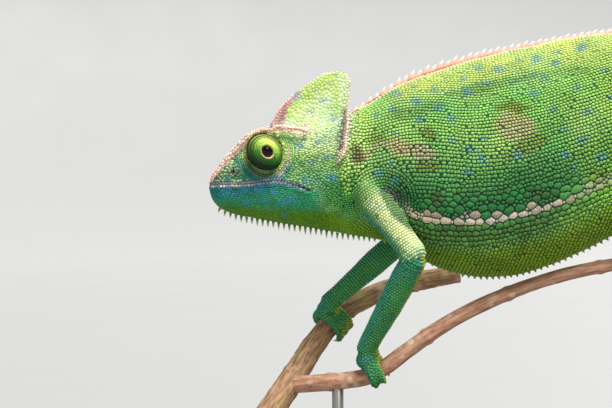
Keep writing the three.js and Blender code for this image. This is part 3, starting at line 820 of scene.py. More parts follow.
def paint_body(points):
    x, _, z = points.T
    back, _, _, widest, *_ = section(x)
    arc = body_arc(points)
    over = above_line(points, arc)
    rise = np.clip((z - widest) / (back - widest), 0, 1)
    trunk = step(44, 54, x)
    rear = step(98, 122, x)
    hue = Paint(points, "flank")
    hue.lay("neck", (1 - trunk) * 0.8)
    hue.lay("rump", rear * 0.8)
    hue.lay("emerald", 0.95 * trunk * hump(over - 4.5, 13.5) * (1 - 0.7 * rear))
    middle = trunk * hump(over - 14, 12) * hump(x - 96, 22)
    hue.tinge(1 - middle[:, None] * (0.5, 0.24, 0.3))
    hue.lay("belly", trunk * step(-6, -12, over))
    hue.lay("olive", 0.5 * trunk * (1 - rear) * hump(over + 5, 4), 0.5)
    hue.lay("emerald", 0.8 * (1 - trunk) * step(4, -5, z), (2.2, 1.4, 1))
    hue.lay("back", step(0.5, 0.95, rise) * step(46, 60, x))
    hue.lay("back", 0.25 * trunk * hump(over - 22, 10) * (1 + noise(points, 9, 21)))
    ragged = at_side(points, 2.2, 31, 0.9)
    for name, strength, *outline in PATCHES:
        hue.lay(name, strength * ellipse(ragged, *outline))
    pit = np.hypot(x - 53.6, (z + 4.4) * 1.1)
    hue.lay("hollow", step(5.6, 2.2, pit) * 0.85 * (z > -12))
    double = 1.6 * step(-0.25, -0.1, noise(columns(x, 0, 0), 4.5, 33))
    line = step(-1.1, -0.8, over) * step(1.1 + double, 0.8 + double, over)
    ends = step(57, 61, x) * (1 - 0.5 * step(96, 112, x)) * step(150, 140, x)
    hue.lay("cream", line * ends, np.where(over > 0.8, 0.72, 1)[:, None])
    to_ridge = np.interp(x, SECTIONS_AT, ARCS[:, -1]) - arc
    hue.lay("rose", 0.9 * step(2.6, 1.6, to_ridge) * step(43, 47, x))
    hue.cover((1 - trunk) * share_of_head(x, z), paint_head(points))
    nape = ellipse(ragged, 39.5, -2.5, 11, 11, 0, 0.45) + 0.6 * ellipse(ragged, 43.5, 2, 6, 7, 0, 0.5)
    hue.lay("emerald", 0.8 * np.minimum(nape, 1), (1.6, 1.3, 0.7))
    hem = step(1.4, -0.8, z - np.interp(x, [36, 44, 53], [-9.5, -11.5, -14]))
    hue.lay("throat", 0.85 * hem * step(34, 37, x) * step(57, 52, x), (1.7, 1.3, 1))
    hue.lay("neck", 0.4 * ellipse(ragged, 41, 2.4, 11, 2.4, 100, 0.6), (0.85, 1, 0.6))
    return hue.coat


def share_of_head(x, z):
    return 1 - step(0, 4, x - np.interp(z, [-17, -8, 3, 8, 13, 22], [38, 37, 37.5, 39.5, 41, 42.2]))


def paint_head(points):
    """The head's colours: pale above, sea green and then olive below, lilac lips and a rosy brow."""
    x, _, z = points.T
    hue = Paint(points, "head")
    hue.lay("crown", step(6, 13, z) * step(23, 30, x) * 0.75)
    hue.lay("snout", step(16, 8, x))
    fleck = noise(points, 1.2, 43)
    for name, strength, low, high in (("teal", 0.75, -0.1, -0.5), ("neck", 0.6, 0.1, 0.5)):
        hue.lay(name, strength * step(low, high, fleck) * step(15, 10, x))
    hue.tinge((1 - 0.5 * step(8, 3.5, x) * step(6, 2, z))[:, None])
    ring = eye_distance(points)
    hue.lay("teal", hump(ring - 7.6, 2.2) * step(3, -1, z - EYE[2] + 4) * step(8, 11, x) * step(28, 24, x))
    hue.lay("teal", 0.4 * hump(np.hypot(x - 32, (z - 0.5) * 1.3), 6), 1.3)
    height, shows = mouth_distance(points)
    jaw = step(0.2, -0.4, height) * step(37, 30, x + height * 0.2)
    hue.lay("jaw", jaw)
    hue.lay("teal", 0.75 * jaw * hump(height + 1.8, 2.2) * step(26, 16, x), (1, 0.8, 1.35))
    low = z - np.interp(x, [0, 8, 20, 33, 44, 52], [-5.5, -6.2, -7.4, -7.6, -8.5, -10])
    hue.lay("throat", step(1.6, -1.8, low))
    ragged = step(-0.25, 0.35, noise(points, 0.95, 41))
    hue.lay("emerald", 0.35 * ragged * (height > 1.5) * (x > 22) * (z < 9), (1.3, 1.3, 1.6))
    lip = shows * step(0.9, 0.62, np.abs(height)) * step(31, 28, x)
    hue.lay("lip", lip * 0.8, np.where(height > 0, 0.9, 1.1)[:, None])
    pearls = lip * (height < -0.2) * step(16, 12, x) * step(-0.3, 0.3, np.sin(x * 5.2))
    hue.lay("cream", 0.9 * pearls, 1.3)
    shut = np.interp(x, [18, 28], [0.55, 1])
    # painted shade: a dark line in the groove along the mouth's seam
    hue.lay("brown", shows * hump(height, 0.3 * shut) * shut, 0.35)
    nostril = np.hypot(x - NOSTRIL[0], z - NOSTRIL[1])
    hue.lay("hollow", 0.8 * hump(nostril, 1.6))
    # painted shade: the nostril's pit is darkest at its middle
    hue.lay("brown", hump(nostril, 0.5), 0.5)
    paint_brow(hue, x, z)
    orbit = Paint(points, "back")
    orbit.tinge((1.1, 1, 0.6))
    # painted shade: the ring turns brown on its lower side, away from the light
    orbit.lay("brown", step(7, 3, z + 0.4 * (x - EYE[0])), 1.6)
    hue.cover(hump(ring - 6.15, 0.42) * step(0.9, 1.5, heights_of_brow(x) - z), orbit.coat)
    # painted shade: a dark line in the groove between the raised ring and the turret
    hue.lay("brown", 0.95 * hump(ring - 5.6, 0.28), 0.25)
    tubercles = hump(ring - 7.6 - 0.3 * noise(points, 2, 42), 0.45) * step(19, 22, x) * step(13, 10, z)
    hue.lay("rose", 0.7 * tubercles * step(1.5, 3, z), (0.95, 0.7, 0.85))
    return hue.coat


def paint_brow(hue, x, z, where=1):
    """The rosy ridge over the eye, orange along its lower edge and purple towards the nose."""
    under = heights_of_brow(x) - z - np.interp(x, [0, 8, 14, 22, 30], [2, 2.9, 3.1, 1.5, 1])
    hue.lay("rose", where * 0.95 * step(0.4, -0.4, under) * step(31.5, 29, x))
    hue.lay("orange", where * 0.6 * hump(under + 0.7, 0.8) * step(30, 25, x) * step(10, 14, x))
    hue.lay("rose", where * 0.6 * hump(under - 0.1, 0.7) * step(14, 10, x), (0.5, 0.36, 0.5))


def paint_casque(points):
    x, _, z = points.T
    hue = Paint(points, "crown")
    hue.lay("rump", 0.4 * step(0.1, 0.5, noise(points, 1.1, 51)))
    height, front, rear, _ = np.transpose(CASQUE)
    outline = columns(np.append(front, rear[::-1]), 0, np.append(height, height[::-1]))
    tree = tree_of(curve(outline, 400))
    edge = np.array([tree.find((at_x, 0, at_z))[2] for at_x, at_z in zip(x, z)])
    hue.lay("rump", 0.65 * hump(edge - 3, 2.6) * (z > 20) * (x < 39), (1.15, 1, 0.7))
    wide = np.interp(z, [16, 20, 24, 28, 31, 34], [4.4, 4.0, 3.2, 2.2, 1.2, 0.5])
    inside = x - np.interp(z, height, front) - wide
    rim = step(0.4, -0.3, inside) * step(15.5, 17, z)
    hue.lay("rose", rim, (0.66, 0.58, 0.62))
    hue.lay("rose", 0.8 * rim * hump(inside + 0.9, 1.1) * step(-0.4, 0.3, noise(points, 0.9, 52)),
            (0.36, 0.24, 0.3))
    hue.lay("rose", 0.85 * step(1.2, 0.7, edge) * step(18, 24, z), (1.02, 1.08, 1.1))
    paint_cheek_edge(hue, points)
    paint_brow(hue, x, z, z < 17.6)
    return hue.coat


def paint_cheek_edge(hue, points):
    """The column of plum brown beads behind the cheek, with a peach edge behind it."""
    x, _, z = points.T
    edge_x, _, edge_z = np.transpose(CHEEK_EDGE[::-1])
    inside = np.interp(z, edge_z, edge_x) - x
    high = step(7.5, 9.5, z) * step(25, 22, z)
    hue.lay("rose", 0.8 * high * hump(inside - 0.2, 0.7))
    beads = 0.5 + 0.5 * step(-0.3, 0.2, noise(points, 1, 53))
    hue.lay("hollow", 0.95 * high * beads * hump(inside - 1.4, 0.9), (1.1, 0.5, 0.75))


def paint_limb(points, normals, tube, upper):
    """The legs: pale on the side that faces up and back, as a painted highlight, and green to blue green
    below, as painted shade, with a few spots.
    """
    share, angle, _ = tube.locate(points)
    # lit: how far the skin faces the light, which comes from above and behind
    lit = normals @ unit([0.55, 0, 0.85])
    hue = Paint(points, "limb")
    if upper:
        shown = (0.6 + 0.35 * step(0.1, 0.4, share)) * (1 - 0.4 * step(0.88, 1, share))
        stripe = step(-0.2, 0.7, np.sin(share * tube.length * 3.1 + 2 * noise(points, 3, 63)))
        # painted highlight: the upper legs pale on the side that faces the light
        hue.lay("limb_pale", step(-0.85, 0.0, lit) * shown * (1 - 0.3 * stripe * step(0.5, -0.4, lit)))
        # painted shade: blue green on the side turned away from the light
        hue.lay("teal", 0.6 * step(-0.5, -0.95, lit), 1.2)
        hue.lay("orange", 0.8 * hump(np.hypot(share * tube.length - 9, angle * 4 - 1), 0.8))
    else:
        hue.tinge((0.7, 0.98, 0.86))
        hue.lay("teal", 0.35 * step(0.3, 0.05, share))
        # painted shade: blue green on the front side, away from the light
        hue.lay("teal", 0.6 * step(-0.1, -0.9, normals[:, 0]))
        # painted light: orange olive on the rear side, which faces the light from behind
        hue.lay("belly", 0.75 * step(0.5, 0.9, normals[:, 0]), (2.4, 1.3, 1))
    hue.lay("blue", 0.3 * step(0.4, 0.75, noise(points, 1.5, 61)))
    hue.lay("brown", 0.6 * step(0.68, 0.8, noise(points, 1.7, 62)))
    return hue.coat


def paint_tail(points):
    share, angle, _ = TAIL.locate(points)
    hue = Paint(points, "flank", "rump")
    hue.lay("belly", 0.6 * step(0.15, 0.8, -np.sin(angle)))
    bands = np.sin(share * TAIL.length / TAIL_BAND * 2 * math.pi)
    hue.lay("emerald", 0.45 * step(0.2, 0.8, bands))
    hue.lay("tan", 0.35 * step(-0.2, -0.9, bands))
    hue.lay("blue", 0.6 * step(0.5, 0.65, noise(points, 2.2, 71)))
    return hue.coat


def paint_body_kind(points, kind):
    """The body, and the ridges that are fused to it."""
    hue = Paint(points, "rose")
    hue.coat = paint_body(points)
    if kind == "cheek_edge":
        hue.lay("rose", np.full(len(points), 0.4))
    paint_cheek_edge(hue, points)
    if kind == "brow":
        hue.lay("rose", 0.8 * step(32, 29, points[:, 0]))
    return hue.coat


def paint_leg(points, normals, leg, length):
    """A leg, which takes on the body's colours at its root, with a dark fold down the front upper arms that
    is painted shade.
    """
    upper = length == "upper"
    tube = LIMBS[leg][0 if upper else 1]
    coat = paint_limb(points, normals, tube, upper)
    if not upper:
        return coat
    x, _, z = points.T
    behind = x - np.interp(z, [-16.3, -9.3, -3], [62.5, 54.4, 50.8])
    fold = step(-0.5, 0.7, behind) * step(-15.5, -12, z) * (x < 70)
    # painted shade: the fold where the upper arm meets the body is darkened
    coat = layer(coat, 0.8 * fold, palette()["emerald"] * (2.2, 0.8, 0.6))
    return layer(coat, 0.85 * step(0.3, 0.06, tube.locate(points)[0]), paint_body(points))


def markings(points, normals, parts):
    """The hide's colour at each place, the same for the skin and for the scales on it."""
    coat = np.zeros_like(points)
    for kind in np.unique(parts):
        at = parts == kind
        if kind == "casque":
            coat[at] = paint_casque(points[at])
        elif kind == "tail":
            coat[at] = paint_tail(points[at])
        elif kind in BODY_KINDS:
            coat[at] = paint_body_kind(points[at], kind)
        else:
            coat[at] = paint_leg(points[at], normals[at], *kind.rsplit("_", 1))
    spotted = np.isin(parts, ("body", "casque")) & (np.abs(normals[:, 1]) > 0.25)
    places = points[spotted]
    speckled = 0.5 + 0.15 * (places[:, 0] < HEAD_REAR) + 0.3 * noise(places, 0.8, 83)
    hues = palette()
    blue = layer(hues["blue"] + 0 * places, 0.45 * (parts[spotted] == "casque"), hues["cream"])
    coat[spotted] = layer(coat[spotted], speckled * blue_spots(places), blue)
    mottle = 1 + 0.12 * noise(points, 5, 81) + 0.08 * noise(points, 1.3, 82)
    drift = noise(points, 7, 84)[:, None] * (0.14, 0.02, -0.14)
    return np.clip(coat * mottle[:, None] * (1 + drift), 0.001, 0.95)


def between(points, parts, coat):
    """The darker colour of the skin between the scales, strongest on the flanks: painted shade in the grooves
    between the scales.
    """
    x, _, z = points.T
    depth = np.full(len(points), 0.6)
    body = np.isin(parts, BODY_KINDS)
    back, _, _, widest, *_ = section(x)
    belly = step(-4, -8, above_line(points, body_arc(points))) * step(54, 62, x)
    trunk = 1 - 0.1 * belly - 0.3 * step(0.45, 0.95, (z - widest) / (back - widest))
    head = 0.75 - 0.35 * (z < -1)
    at_head = np.maximum(share_of_head(x, z), step(52, 44, x) * step(-6, -9, z))
    depth[body] = (trunk + at_head * (head - trunk))[body]
    depth[parts == "casque"] = 0.3
    depth[body & (x < 13) & (z > 1)] = 0.85
    depth *= 1 - 0.6 * step(1.2, 1.4, coat[:, 0] / coat[:, 1]) * step(0.45, 0.6, coat[:, 0])
    return coat * (1 + depth[:, None] * (palette()["gap"] - 1))


# ------------------------------------------------------------------ where the scales grow

SEED = 20
NEIGHBOURS = 12
FILL_TRIES = 90000
# What follows place and row direction in a scale's row; the last is its share of the gap between scales.
SIZE, RANK, HEIGHT, LONGER, SPARE = range(6, 11)
OTHER_SIDE = 5000  # added to distances on the right side, so that its cells differ from the left's


class Skin:
    """The finished skin as numbers: its surface to look places up on, and the kind of each part."""

    def __init__(self, mesh, parts):
        self.places = read(mesh.vertices, "co", 3)
        self.normals = read(mesh.vertices, "normal", 3)
        self.parts = parts
        mesh.calc_loop_triangles()
        self.triangles = read(mesh.loop_triangles, "vertices", 3, np.int32).astype(int)
        self.tree = BVHTree.FromPolygons(self.places.tolist(), self.triangles.tolist())

    def scatter(self, count):
        """Evenly scattered places, with their normals and kinds."""
        rng = np.random.default_rng(SEED)
        a, b, c = (self.places[self.triangles[:, k]] for k in range(3))
        area = np.linalg.norm(np.cross(b - a, c - a), axis=1)
        picked = np.searchsorted(np.cumsum(area) / area.sum(), rng.random(count)).clip(0, len(area) - 1)
        u, v = rng.random((2, count))
        fold = u + v > 1
        u, v = np.where(fold, 1 - u, u), np.where(fold, 1 - v, v)
        share = columns(1 - u - v, u, v)
        corners = self.triangles[picked]
        points = (self.places[corners] * share[:, :, None]).sum(axis=1)
        normals = unit((self.normals[corners] * share[:, :, None]).sum(axis=1))
        return points, normals, self.parts[corners[np.arange(count), share.argmax(axis=1)]]

    def settle(self, points):
        """The nearest place on the skin to each point, with its normal and kind."""
        found = [self.tree.find_nearest(point) for point in points]
        places = np.array([hit[0] for hit in found])
        corners = self.triangles[[hit[2] for hit in found]]
        near = 1 / (np.linalg.norm(self.places[corners] - places[:, None], axis=2) + 1e-4)
        near /= near.sum(axis=1, keepdims=True)
        normals = unit((self.normals[corners] * near[:, :, None]).sum(axis=1))
        return places, normals, self.parts[corners[np.arange(len(places)), near.argmax(axis=1)]]

    def from_side(self, x, z, hand):
        """The outermost places of one flank that are seen at each x and z."""
        hits = [self.tree.ray_cast((px, 60 * hand, pz), (0, -hand, 0)) for px, pz in zip(x, z)]
        return np.array([tuple(hit[0]) for hit in hits if hit[0] is not None])


class Scales:
    """Roots of scales: place, size, row direction and rank, where a higher rank keeps its place."""

    def __init__(self):
        self.rows = []

    def add(self, places, size, along, rank, height=1.0, longer=1.0):
        count = len(places)
        if count:
            columns = [np.broadcast_to(value, count) for value in (size, rank, height, longer)]
            self.rows.append(np.column_stack([places, np.broadcast_to(along, (count, 3)), *columns]))

    def lattice(self, at, points, s, r, axes, pitch_s, pitch_r, rank, jitter=0.12, shift=0.5, stretch=1.0):
        """One scale for each cell of a grid of rows; s runs along the rows and r across them."""
        stretch = np.broadcast_to(stretch, len(points))[at]
        points, s, r, along, across = (values[at] for values in (points, s, r, *axes))
        if not len(points):
            return
        s = s + np.where(points[:, 1] < 0, 0, OTHER_SIDE)
        row = np.floor(r / pitch_r).astype(np.int64)
        phase = shift * hash_pair(row, row * 0 + 7)[0]
        column = np.floor(s / pitch_s + phase).astype(np.int64)
        wobble = hash_pair(row, column)
        ds = (column + 0.5 + 1.6 * jitter * wobble[0] - phase) * pitch_s - s
        dr = ((row + 0.5 + 0.5 * jitter * wobble[1]) * pitch_r - r) * stretch
        self.keep_nearest(points, row * 100003 + column, ds, dr, along, across, pitch_s, pitch_r * stretch,
                          rank)

    def rings(self, points, s, angle, radius, along, across, pitch_round, pitch_s, rank, jitter=0.08):
        """Rings round a limb, each with as many scales as its girth takes."""
        row = np.floor(s / pitch_s).astype(np.int64)
        girth = radius((row + 0.5) * pitch_s) * 2 * math.pi
        number = np.maximum(np.round(girth / pitch_round), 4)
        turn = (angle / (2 * math.pi) + 0.5 + (row % 2) * 0.5 / number) % 1
        column = np.floor(turn * number).astype(np.int64)
        wobble = hash_pair(row, column)
        around = ((column + 0.5 + jitter * wobble[0]) / number - turn) * girth
        dr = (row + 0.5 + jitter * wobble[1]) * pitch_s - s
        self.keep_nearest(points, row * 1009 + column, around, dr, along, across, pitch_round, pitch_s, rank)

    def cobbles(self, points, normals, pitch, rank):
        """Scales in no rows, one for each cell of a grid of cubes."""
        cell = np.floor(points / pitch).astype(np.int64)
        key = (cell[:, 0] * 73856093) ^ (cell[:, 1] * 19349663) ^ (cell[:, 2] * 83492791)
        wobble = hash_pair(cell[:, 0] * 31 + cell[:, 1], cell[:, 2])
        offset = (cell + 0.5 + 0.25 * columns(wobble[0], wobble[1], -wobble[0])) * pitch - points
        offset = offset - (offset * normals).sum(axis=1, keepdims=True) * normals
        order = np.lexsort((np.linalg.norm(offset, axis=1), key))
        first = order[np.concatenate([[True], np.diff(key[order]) != 0])]
        self.add(points[first], pitch / 2, (1, 0.3, 0.2), rank)

    def keep_nearest(self, points, key, ds, dr, along, across, pitch_s, pitch_r, rank):
        pitch_r = np.broadcast_to(pitch_r, len(points))
        order = np.lexsort((ds**2 + dr**2, key))
        first = order[np.concatenate([[True], np.diff(key[order]) != 0])]
        first = first[np.hypot(ds[first], dr[first]) < 0.45 * np.maximum(pitch_s, pitch_r[first])]
        moved = points[first] + along[first] * ds[first, None] + across[first] * dr[first, None]
        tall = pitch_r[first]
        self.add(moved, np.sqrt(pitch_s * tall) / 2, along[first], rank, 1, np.sqrt(pitch_s / tall))


def hash_pair(a, b):
    """Two repeatable numbers between -1 and 1 for each pair of whole numbers."""
    key = a * 374761393 + b * 668265263
    first = ((key ^ (key >> 13)) * 1274126177) & 0xFFFFFF
    second = ((key ^ (key >> 11)) * 1103515245) & 0xFFFFFF
    return first / 8388607.5 - 1, second / 8388607.5 - 1


def tangents(normals, direction, hand=1):
    """The row direction laid into the skin, and the direction across the rows, turned over by hand."""
    direction = np.broadcast_to(direction, normals.shape)
    along = unit(direction - (direction * normals).sum(axis=1, keepdims=True) * normals)
    return along, np.cross(normals, along) * np.reshape(hand, (-1, 1))


def round_rows(points, normals, middle, reach, pitch):
    """Rows in rings round a place on the flank: the run along each ring, and the rows' axes."""
    dx, dz = points[:, 0] - middle[0], points[:, 2] - middle[1]
    along, across = tangents(normals, columns(-dz, 0, dx))
    outward = np.sign((across * columns(dx, 0, dz)).sum(axis=1))[:, None]
    girth = (np.floor(reach / pitch) + 0.5) * pitch
    return np.arctan2(dz, dx) * girth, (along, across * outward)


def grow_trunk_scales(scales, coat, points, normals):
    """Level rows on the flanks, arcs round the armpits and upright rows below the lateral line."""
    x, y, z = points.T
    arc = body_arc(points)
    over = above_line(points, arc)
    back, belly, _, widest, *_ = section(x)
    rise = np.clip((z - widest) / np.where(z > widest, back - widest, widest - belly), -1, 1)
    slopes = [np.interp(x, FINE_BODY[:, 0], np.gradient(FINE_BODY[:, k], FINE_BODY[:, 0])) for k in (1, 2)]
    lean = np.where(rise > 0, rise * slopes[0], -rise * slopes[1])
    axes = tangents(normals, columns(1, 0, np.clip(lean, -1, 1)), np.where(y < 0, 1, -1))
    warp = 0.35 * noise(points, 9, 91)
    waver = warp + 0.16 * noise(points, 2.6, 97)
    pit = np.hypot(x - ARMPIT[0], z - ARMPIT[1])
    head = share_of_head(x, z) > 0.5
    edge = 10.5 + 2 * noise(points, 6, 92)
    polar = (pit < edge) & (np.abs(normals[:, 1]) > 0.35) & (z > -13) & (x > NECK_FROM)
    trunk = (x > HEAD_REAR) & ~head & ~polar & ~plate_zone(x, over)
    low = trunk & (over < -5 + noise(points, 4, 93)) & (x > 56)
    throat = (z < -7 + 0.3 * (x - 30)) & (x < 52) & ~polar
    scales.lattice(trunk & ~low & ~throat, points, x + warp, np.interp(arc + waver, ROW_AT, ROW_NUMBERS),
                   axes,
                   coat.flank_width, 1, 3, shift=0.3, stretch=np.interp(arc, ROW_ARCS, ROW_HEIGHTS))
    run, round_axes = round_rows(points, normals, ARMPIT, pit, 0.92)
    scales.lattice(polar, points, run, pit, round_axes, 0.9, 0.92, 4, shift=0.3)
    upright, sideways = tangents(normals, (0.34, 0, 1))
    sideways = sideways * np.sign(sideways[:, :1] + 1e-9)
    side = np.where(y < 0, 0, OTHER_SIDE)
    scales.lattice(low, points, arc + 0.4 * warp, x - 0.34 * z + warp + side, (upright, sideways), 0.98, 1.1,
                   3,
                   shift=0.3)
    scales.lattice(throat & ~head, points, x, arc, axes, 0.72, 0.68, 3)


# Heights of the level rows on the flanks, at distances over the skin above the widest line.
ROW_ARCS = [-12, -2, 5, 12, 22]
ROW_HEIGHTS = [1.4, 1.3, 1.12, 0.96, 0.84]
ROW_AT = np.arange(-60, 70, 0.1)
ROW_NUMBERS = np.cumsum(0.1 / np.interp(ROW_AT, ROW_ARCS, ROW_HEIGHTS))


def plate_zone(x, over):
    """1 where plates stand instead of the small scales: a band along the lateral line."""
    top = np.interp(x, [56, 62, 65, 69, 97, 105, 112, 120, 150],
                    [0.9, 1.3, 6, 11.3, 11.3, 8.6, 4.4, 1.4, 0.9])
    low = np.interp(x, [56, 61, 66, 108, 122, 134, 150], [-0.9, -3, -6.8, -6.8, -4, -1, -0.9])
    return (over > low) & (over < top)


# Rows of plates: height of the middle over the lateral line, height and mean width of a plate.
PLATE_ROWS = [
    (0, 1.75, 3.1), (1.85, 1.85, 3.2), (3.65, 1.7, 3), (5.3, 1.55, 2.7), (6.8, 1.45, 2.3), (8.15, 1.3, 1.9),
    (9.4, 1.2, 1.6), (10.6, 1.15, 1.3), (-1.75, 1.7, 1.9), (-3.35, 1.5, 1.7), (-4.8, 1.35, 1.5), (-6.1, 1.2,
                                                                                                  1.3),
]


def grow_plates(scales, skin):
    """The pale plates of the lateral line and the big plates above and below it, on both flanks."""
    rng = np.random.default_rng(SEED + 1)
    for hand in (-1, 1):
        for height, tall, wide in PLATE_ROWS:
            wides = wide * rng.uniform(0.72, 1.28, 90)
            x = 56 + np.cumsum(wides) - wides / 2
            inside = (x < 149) & plate_zone(x, height)
            x, wides = x[inside], wides[inside] * (1 - 0.25 * step(100, 130, x[inside]))
            z = line_height(LATERAL_LINE, x) + height + rng.uniform(-0.14, 0.14, len(x)) * tall
            slope = np.gradient(line_height(LATERAL_LINE, x), x)
            along = columns(1, 0, slope)
            rank = 8 if height == 0 else 6
            scales.add(skin.from_side(x, z, hand), np.sqrt(wides * tall) / 2, along, rank, 1,
                       np.sqrt(wides / tall))


def grow_head_scales(scales, coat, points, normals):
    """Uneven rows on the head and cheeks, rings round the eyes and fine rows along the jaw."""
    x, y, z = points.T
    arc = body_arc(points)
    head = share_of_head(x, z) > 0.5
    ring = eye_distance(points)
    round_eye = head & (ring < 9.2) & (np.abs(normals[:, 1]) > 0.3)
    below = z - line_height(MOUTH, x) < 0
    axes = tangents(normals, (1, 0, 0.12), np.where(y < 0, 1, -1))
    warp = 0.5 * noise(points, 3.5, 94)
    wide = coat.head_width
    scales.lattice(head & ~round_eye & ~below, points, x + warp, arc - 0.12 * x + warp, axes, wide,
                   wide * 0.86, 3,
                   jitter=0.26)
    scales.lattice(head & ~round_eye & below, points, x + 0.5 * warp, arc + 0.1 * x, axes, wide * 0.84,
                   wide * 0.78, 3, jitter=0.15)
    run, axes = round_rows(points, normals, EYE[[0, 2]], ring, 0.62)
    scales.lattice(round_eye, points, run, ring, axes, 0.66, 0.62, 4)


def grow_casque_scales(scales, points, normals):
    x, y, z = points.T
    axes = tangents(normals, (0.45, 0, 1), np.where(y < 0, -1, 1))
    warp = 0.5 * noise(points, 3, 95)
    run, level = z * 0.91 + x * 0.41 + warp, x * 0.91 - z * 0.41 + warp
    scales.lattice(slice(None), points, run, level, axes, 1.15, 0.95, 3, jitter=0.3)


def grow_limb_scales(scales, points, normals, tube, pitch):
    share, angle, _ = tube.locate(points)
    forward = tube.at(np.clip(share, 0, 1))[1]
    around = np.cross(forward, normals)
    along, across = tangents(normals, around)
    across = across * np.sign((across * forward).sum(axis=1))[:, None]
    turning = np.sign((around * along).sum(axis=1))[:, None]
    hand = np.sign(np.cross(tube.forward[0], tube.across[0]) @ tube.up[0])
    radius = lambda s: spread(tube.radii, np.clip(s / tube.length, 0, 1))
    scales.rings(points, share * tube.length + 0.25 * noise(points, 4, 96), angle, radius,
                 along * turning * hand,
                 across, pitch * 1.08, pitch, 3)


CASQUE_FRONT = [(front, 0, z) for z, front, _, _ in CASQUE[1:]]
CASQUE_REAR = [(rear, 0, z) for z, _, rear, _ in CASQUE[:-1]]
LIP = [(x, 12, z) for x, z in MOUTH[:-1]]
BEHIND_EYE = [(23.2, 9, 13.4), (24.3, 9.5, 9), (23.6, 9.5, 5), (21.6, 9.5, 2)]
# Rows of larger beads: path on the right side and its shift, spacing, size, rank, height, and how far out
# the row is moved before it settles on the skin. Rows without that are laid on from the side.
BEAD_ROWS = [
    (LIP, (0, 0, 0.44), 0.86, 0.32, 7, 0.8, None),
    (LIP, (0, 0, -0.44), 0.92, 0.32, 7, 0.8, None),
    (BROW, (0, 0, 0), 0.84, 0.46, 7, 1, (0, 0.9, 0.9)),
    (BROW, (0, 0, -0.9), 0.8, 0.42, 6, 0.9, (0, 1.2, 0)),
    (BROW, (0, 0, -1.75), 0.8, 0.42, 5, 0.9, (0, 1.2, 0)),
    (CHEEK_EDGE, (0, 0, 0), 1, 0.52, 7, 1.2, (0.2, 1.2, 0)),
    (CASQUE_FRONT, (0.6, 0.9, 0), 0.9, 0.48, 7, 1, (0, 2, 0)),
    (CASQUE_FRONT, (1.5, 1.6, 0), 0.95, 0.5, 6, 1, (0, 3, 0)),
    (CASQUE_FRONT, (2.4, 2, 0), 1, 0.5, 5, 1, (0, 3, 0)),
    (CASQUE_REAR, (-0.6, 0.8, 0), 0.95, 0.5, 7, 1, (0, 2, 0)),
    (CASQUE_REAR[:5], (-2.1, 2, 0), 1.25, 0.62, 7, 1.25, (0, 5, 0)),
    (BEHIND_EYE, (0, 0, 0), 1.1, 0.48, 7, 1.1, (0, 2, 0)),
]


def grow_bead_rows(scales, skin):
    """Rows of larger beads on lips, brows, the casque's rims and cheek edges, and behind the eyes."""
    rng = np.random.default_rng(SEED + 2)
    for hand in (-1, 1):
        for path, shift, spacing, size, rank, height, push in BEAD_ROWS:
            path = curve((np.array(path) + shift) * (1, hand, 1), 400)
            run = np.linalg.norm(np.diff(path, axis=0), axis=1).sum()
            at = np.arange(spacing / 2, run, spacing) / run * (len(path) - 1)
            at = np.clip(at + rng.uniform(-0.08, 0.08, len(at)) * spacing / run * 400, 0, 399).astype(int)
            heading = unit(np.gradient(path, axis=0))[at]
            if push is None:
                places = skin.from_side(path[at, 0], path[at, 2], hand)
                heading = heading[: len(places)]
            else:
                places = skin.settle(path[at] + np.array(push) * (1, hand, 1))[0]
            scales.add(places, size * rng.uniform(0.9, 1.1, len(places)), heading, rank, height)
    rim = curve([(41.4, 0, 34.2), (38.6, 0, 35.2), (34, 0, 33.6), (30, 0, 31.4)], 200)
    scales.add(skin.settle(rim[::12] + (0, 0, 1.2))[0], 0.52, (1, 0, 0), 8, 1)


def thin(rows, crowding=0.82):
    """Keeps the higher ranks where scales stand too close together."""
    rows = rows[np.argsort(-rows[:, RANK], kind="stable")]
    tree = tree_of(rows[:, :3])
    gone = np.zeros(len(rows), bool)
    sizes = rows[:, SIZE]
    for i in range(len(rows)):
        if gone[i]:
            continue
        for _, j, distance in tree.find_range(rows[i, :3], crowding * (sizes[i] + 1.5)):
            if j > i and distance < crowding * (sizes[i] + sizes[j]):
                gone[j] = True
    return rows[~gone]


def fill(rows, points, wanted):
    """Adds small scales where the rows leave bare skin."""
    tree = tree_of(rows[:, :3])
    rng = np.random.default_rng(SEED + 3)
    extra = []
    for point in points[rng.permutation(len(points))[:wanted]]:
        _, j, distance = tree.find(point)
        room = distance - rows[j, SIZE]
        if room > 0.24 + 0.24 * (rows[j, SIZE] > PLATE_FROM):
            size = min(room * 1.1, 0.42)
            extra.append([*point, 1, 0.2, 0.1, size, 1 + size, 1, 1])
    return np.vstack([rows, thin(np.array(extra), 0.9)]) if extra else rows


def grow_coat(skin, coat):
    """The roots of all scales, thinned and settled on the skin."""
    points, normals, kinds = skin.scatter(coat.tries)
    scales = Scales()
    body = np.isin(kinds, BODY_KINDS)
    grow_trunk_scales(scales, coat, points[body], normals[body])
    grow_head_scales(scales, coat, points[body], normals[body])
    grow_plates(scales, skin)
    grow_bead_rows(scales, skin)
    at = kinds == "casque"
    grow_casque_scales(scales, points[at], normals[at])
    for leg, (upper, lower, _) in LIMBS.items():
        for length, tube in (("upper", upper), ("lower", lower)):
            at = kinds == f"{leg}_{length}"
            grow_limb_scales(scales, points[at], normals[at], tube, coat.limb_pitch)
        at = kinds == f"{leg}_foot"
        scales.cobbles(points[at], normals[at], coat.foot_pitch, 2)
    at = kinds == "tail"
    grow_limb_scales(scales, points[at], normals[at], TAIL, coat.tail_pitch)
    rows = np.vstack(scales.rows)
    rows[:, :3] = skin.settle(rows[:, :3])[0]
    return fill(thin(rows), points, FILL_TRIES)


# ------------------------------------------------------------------ the scales' meshes


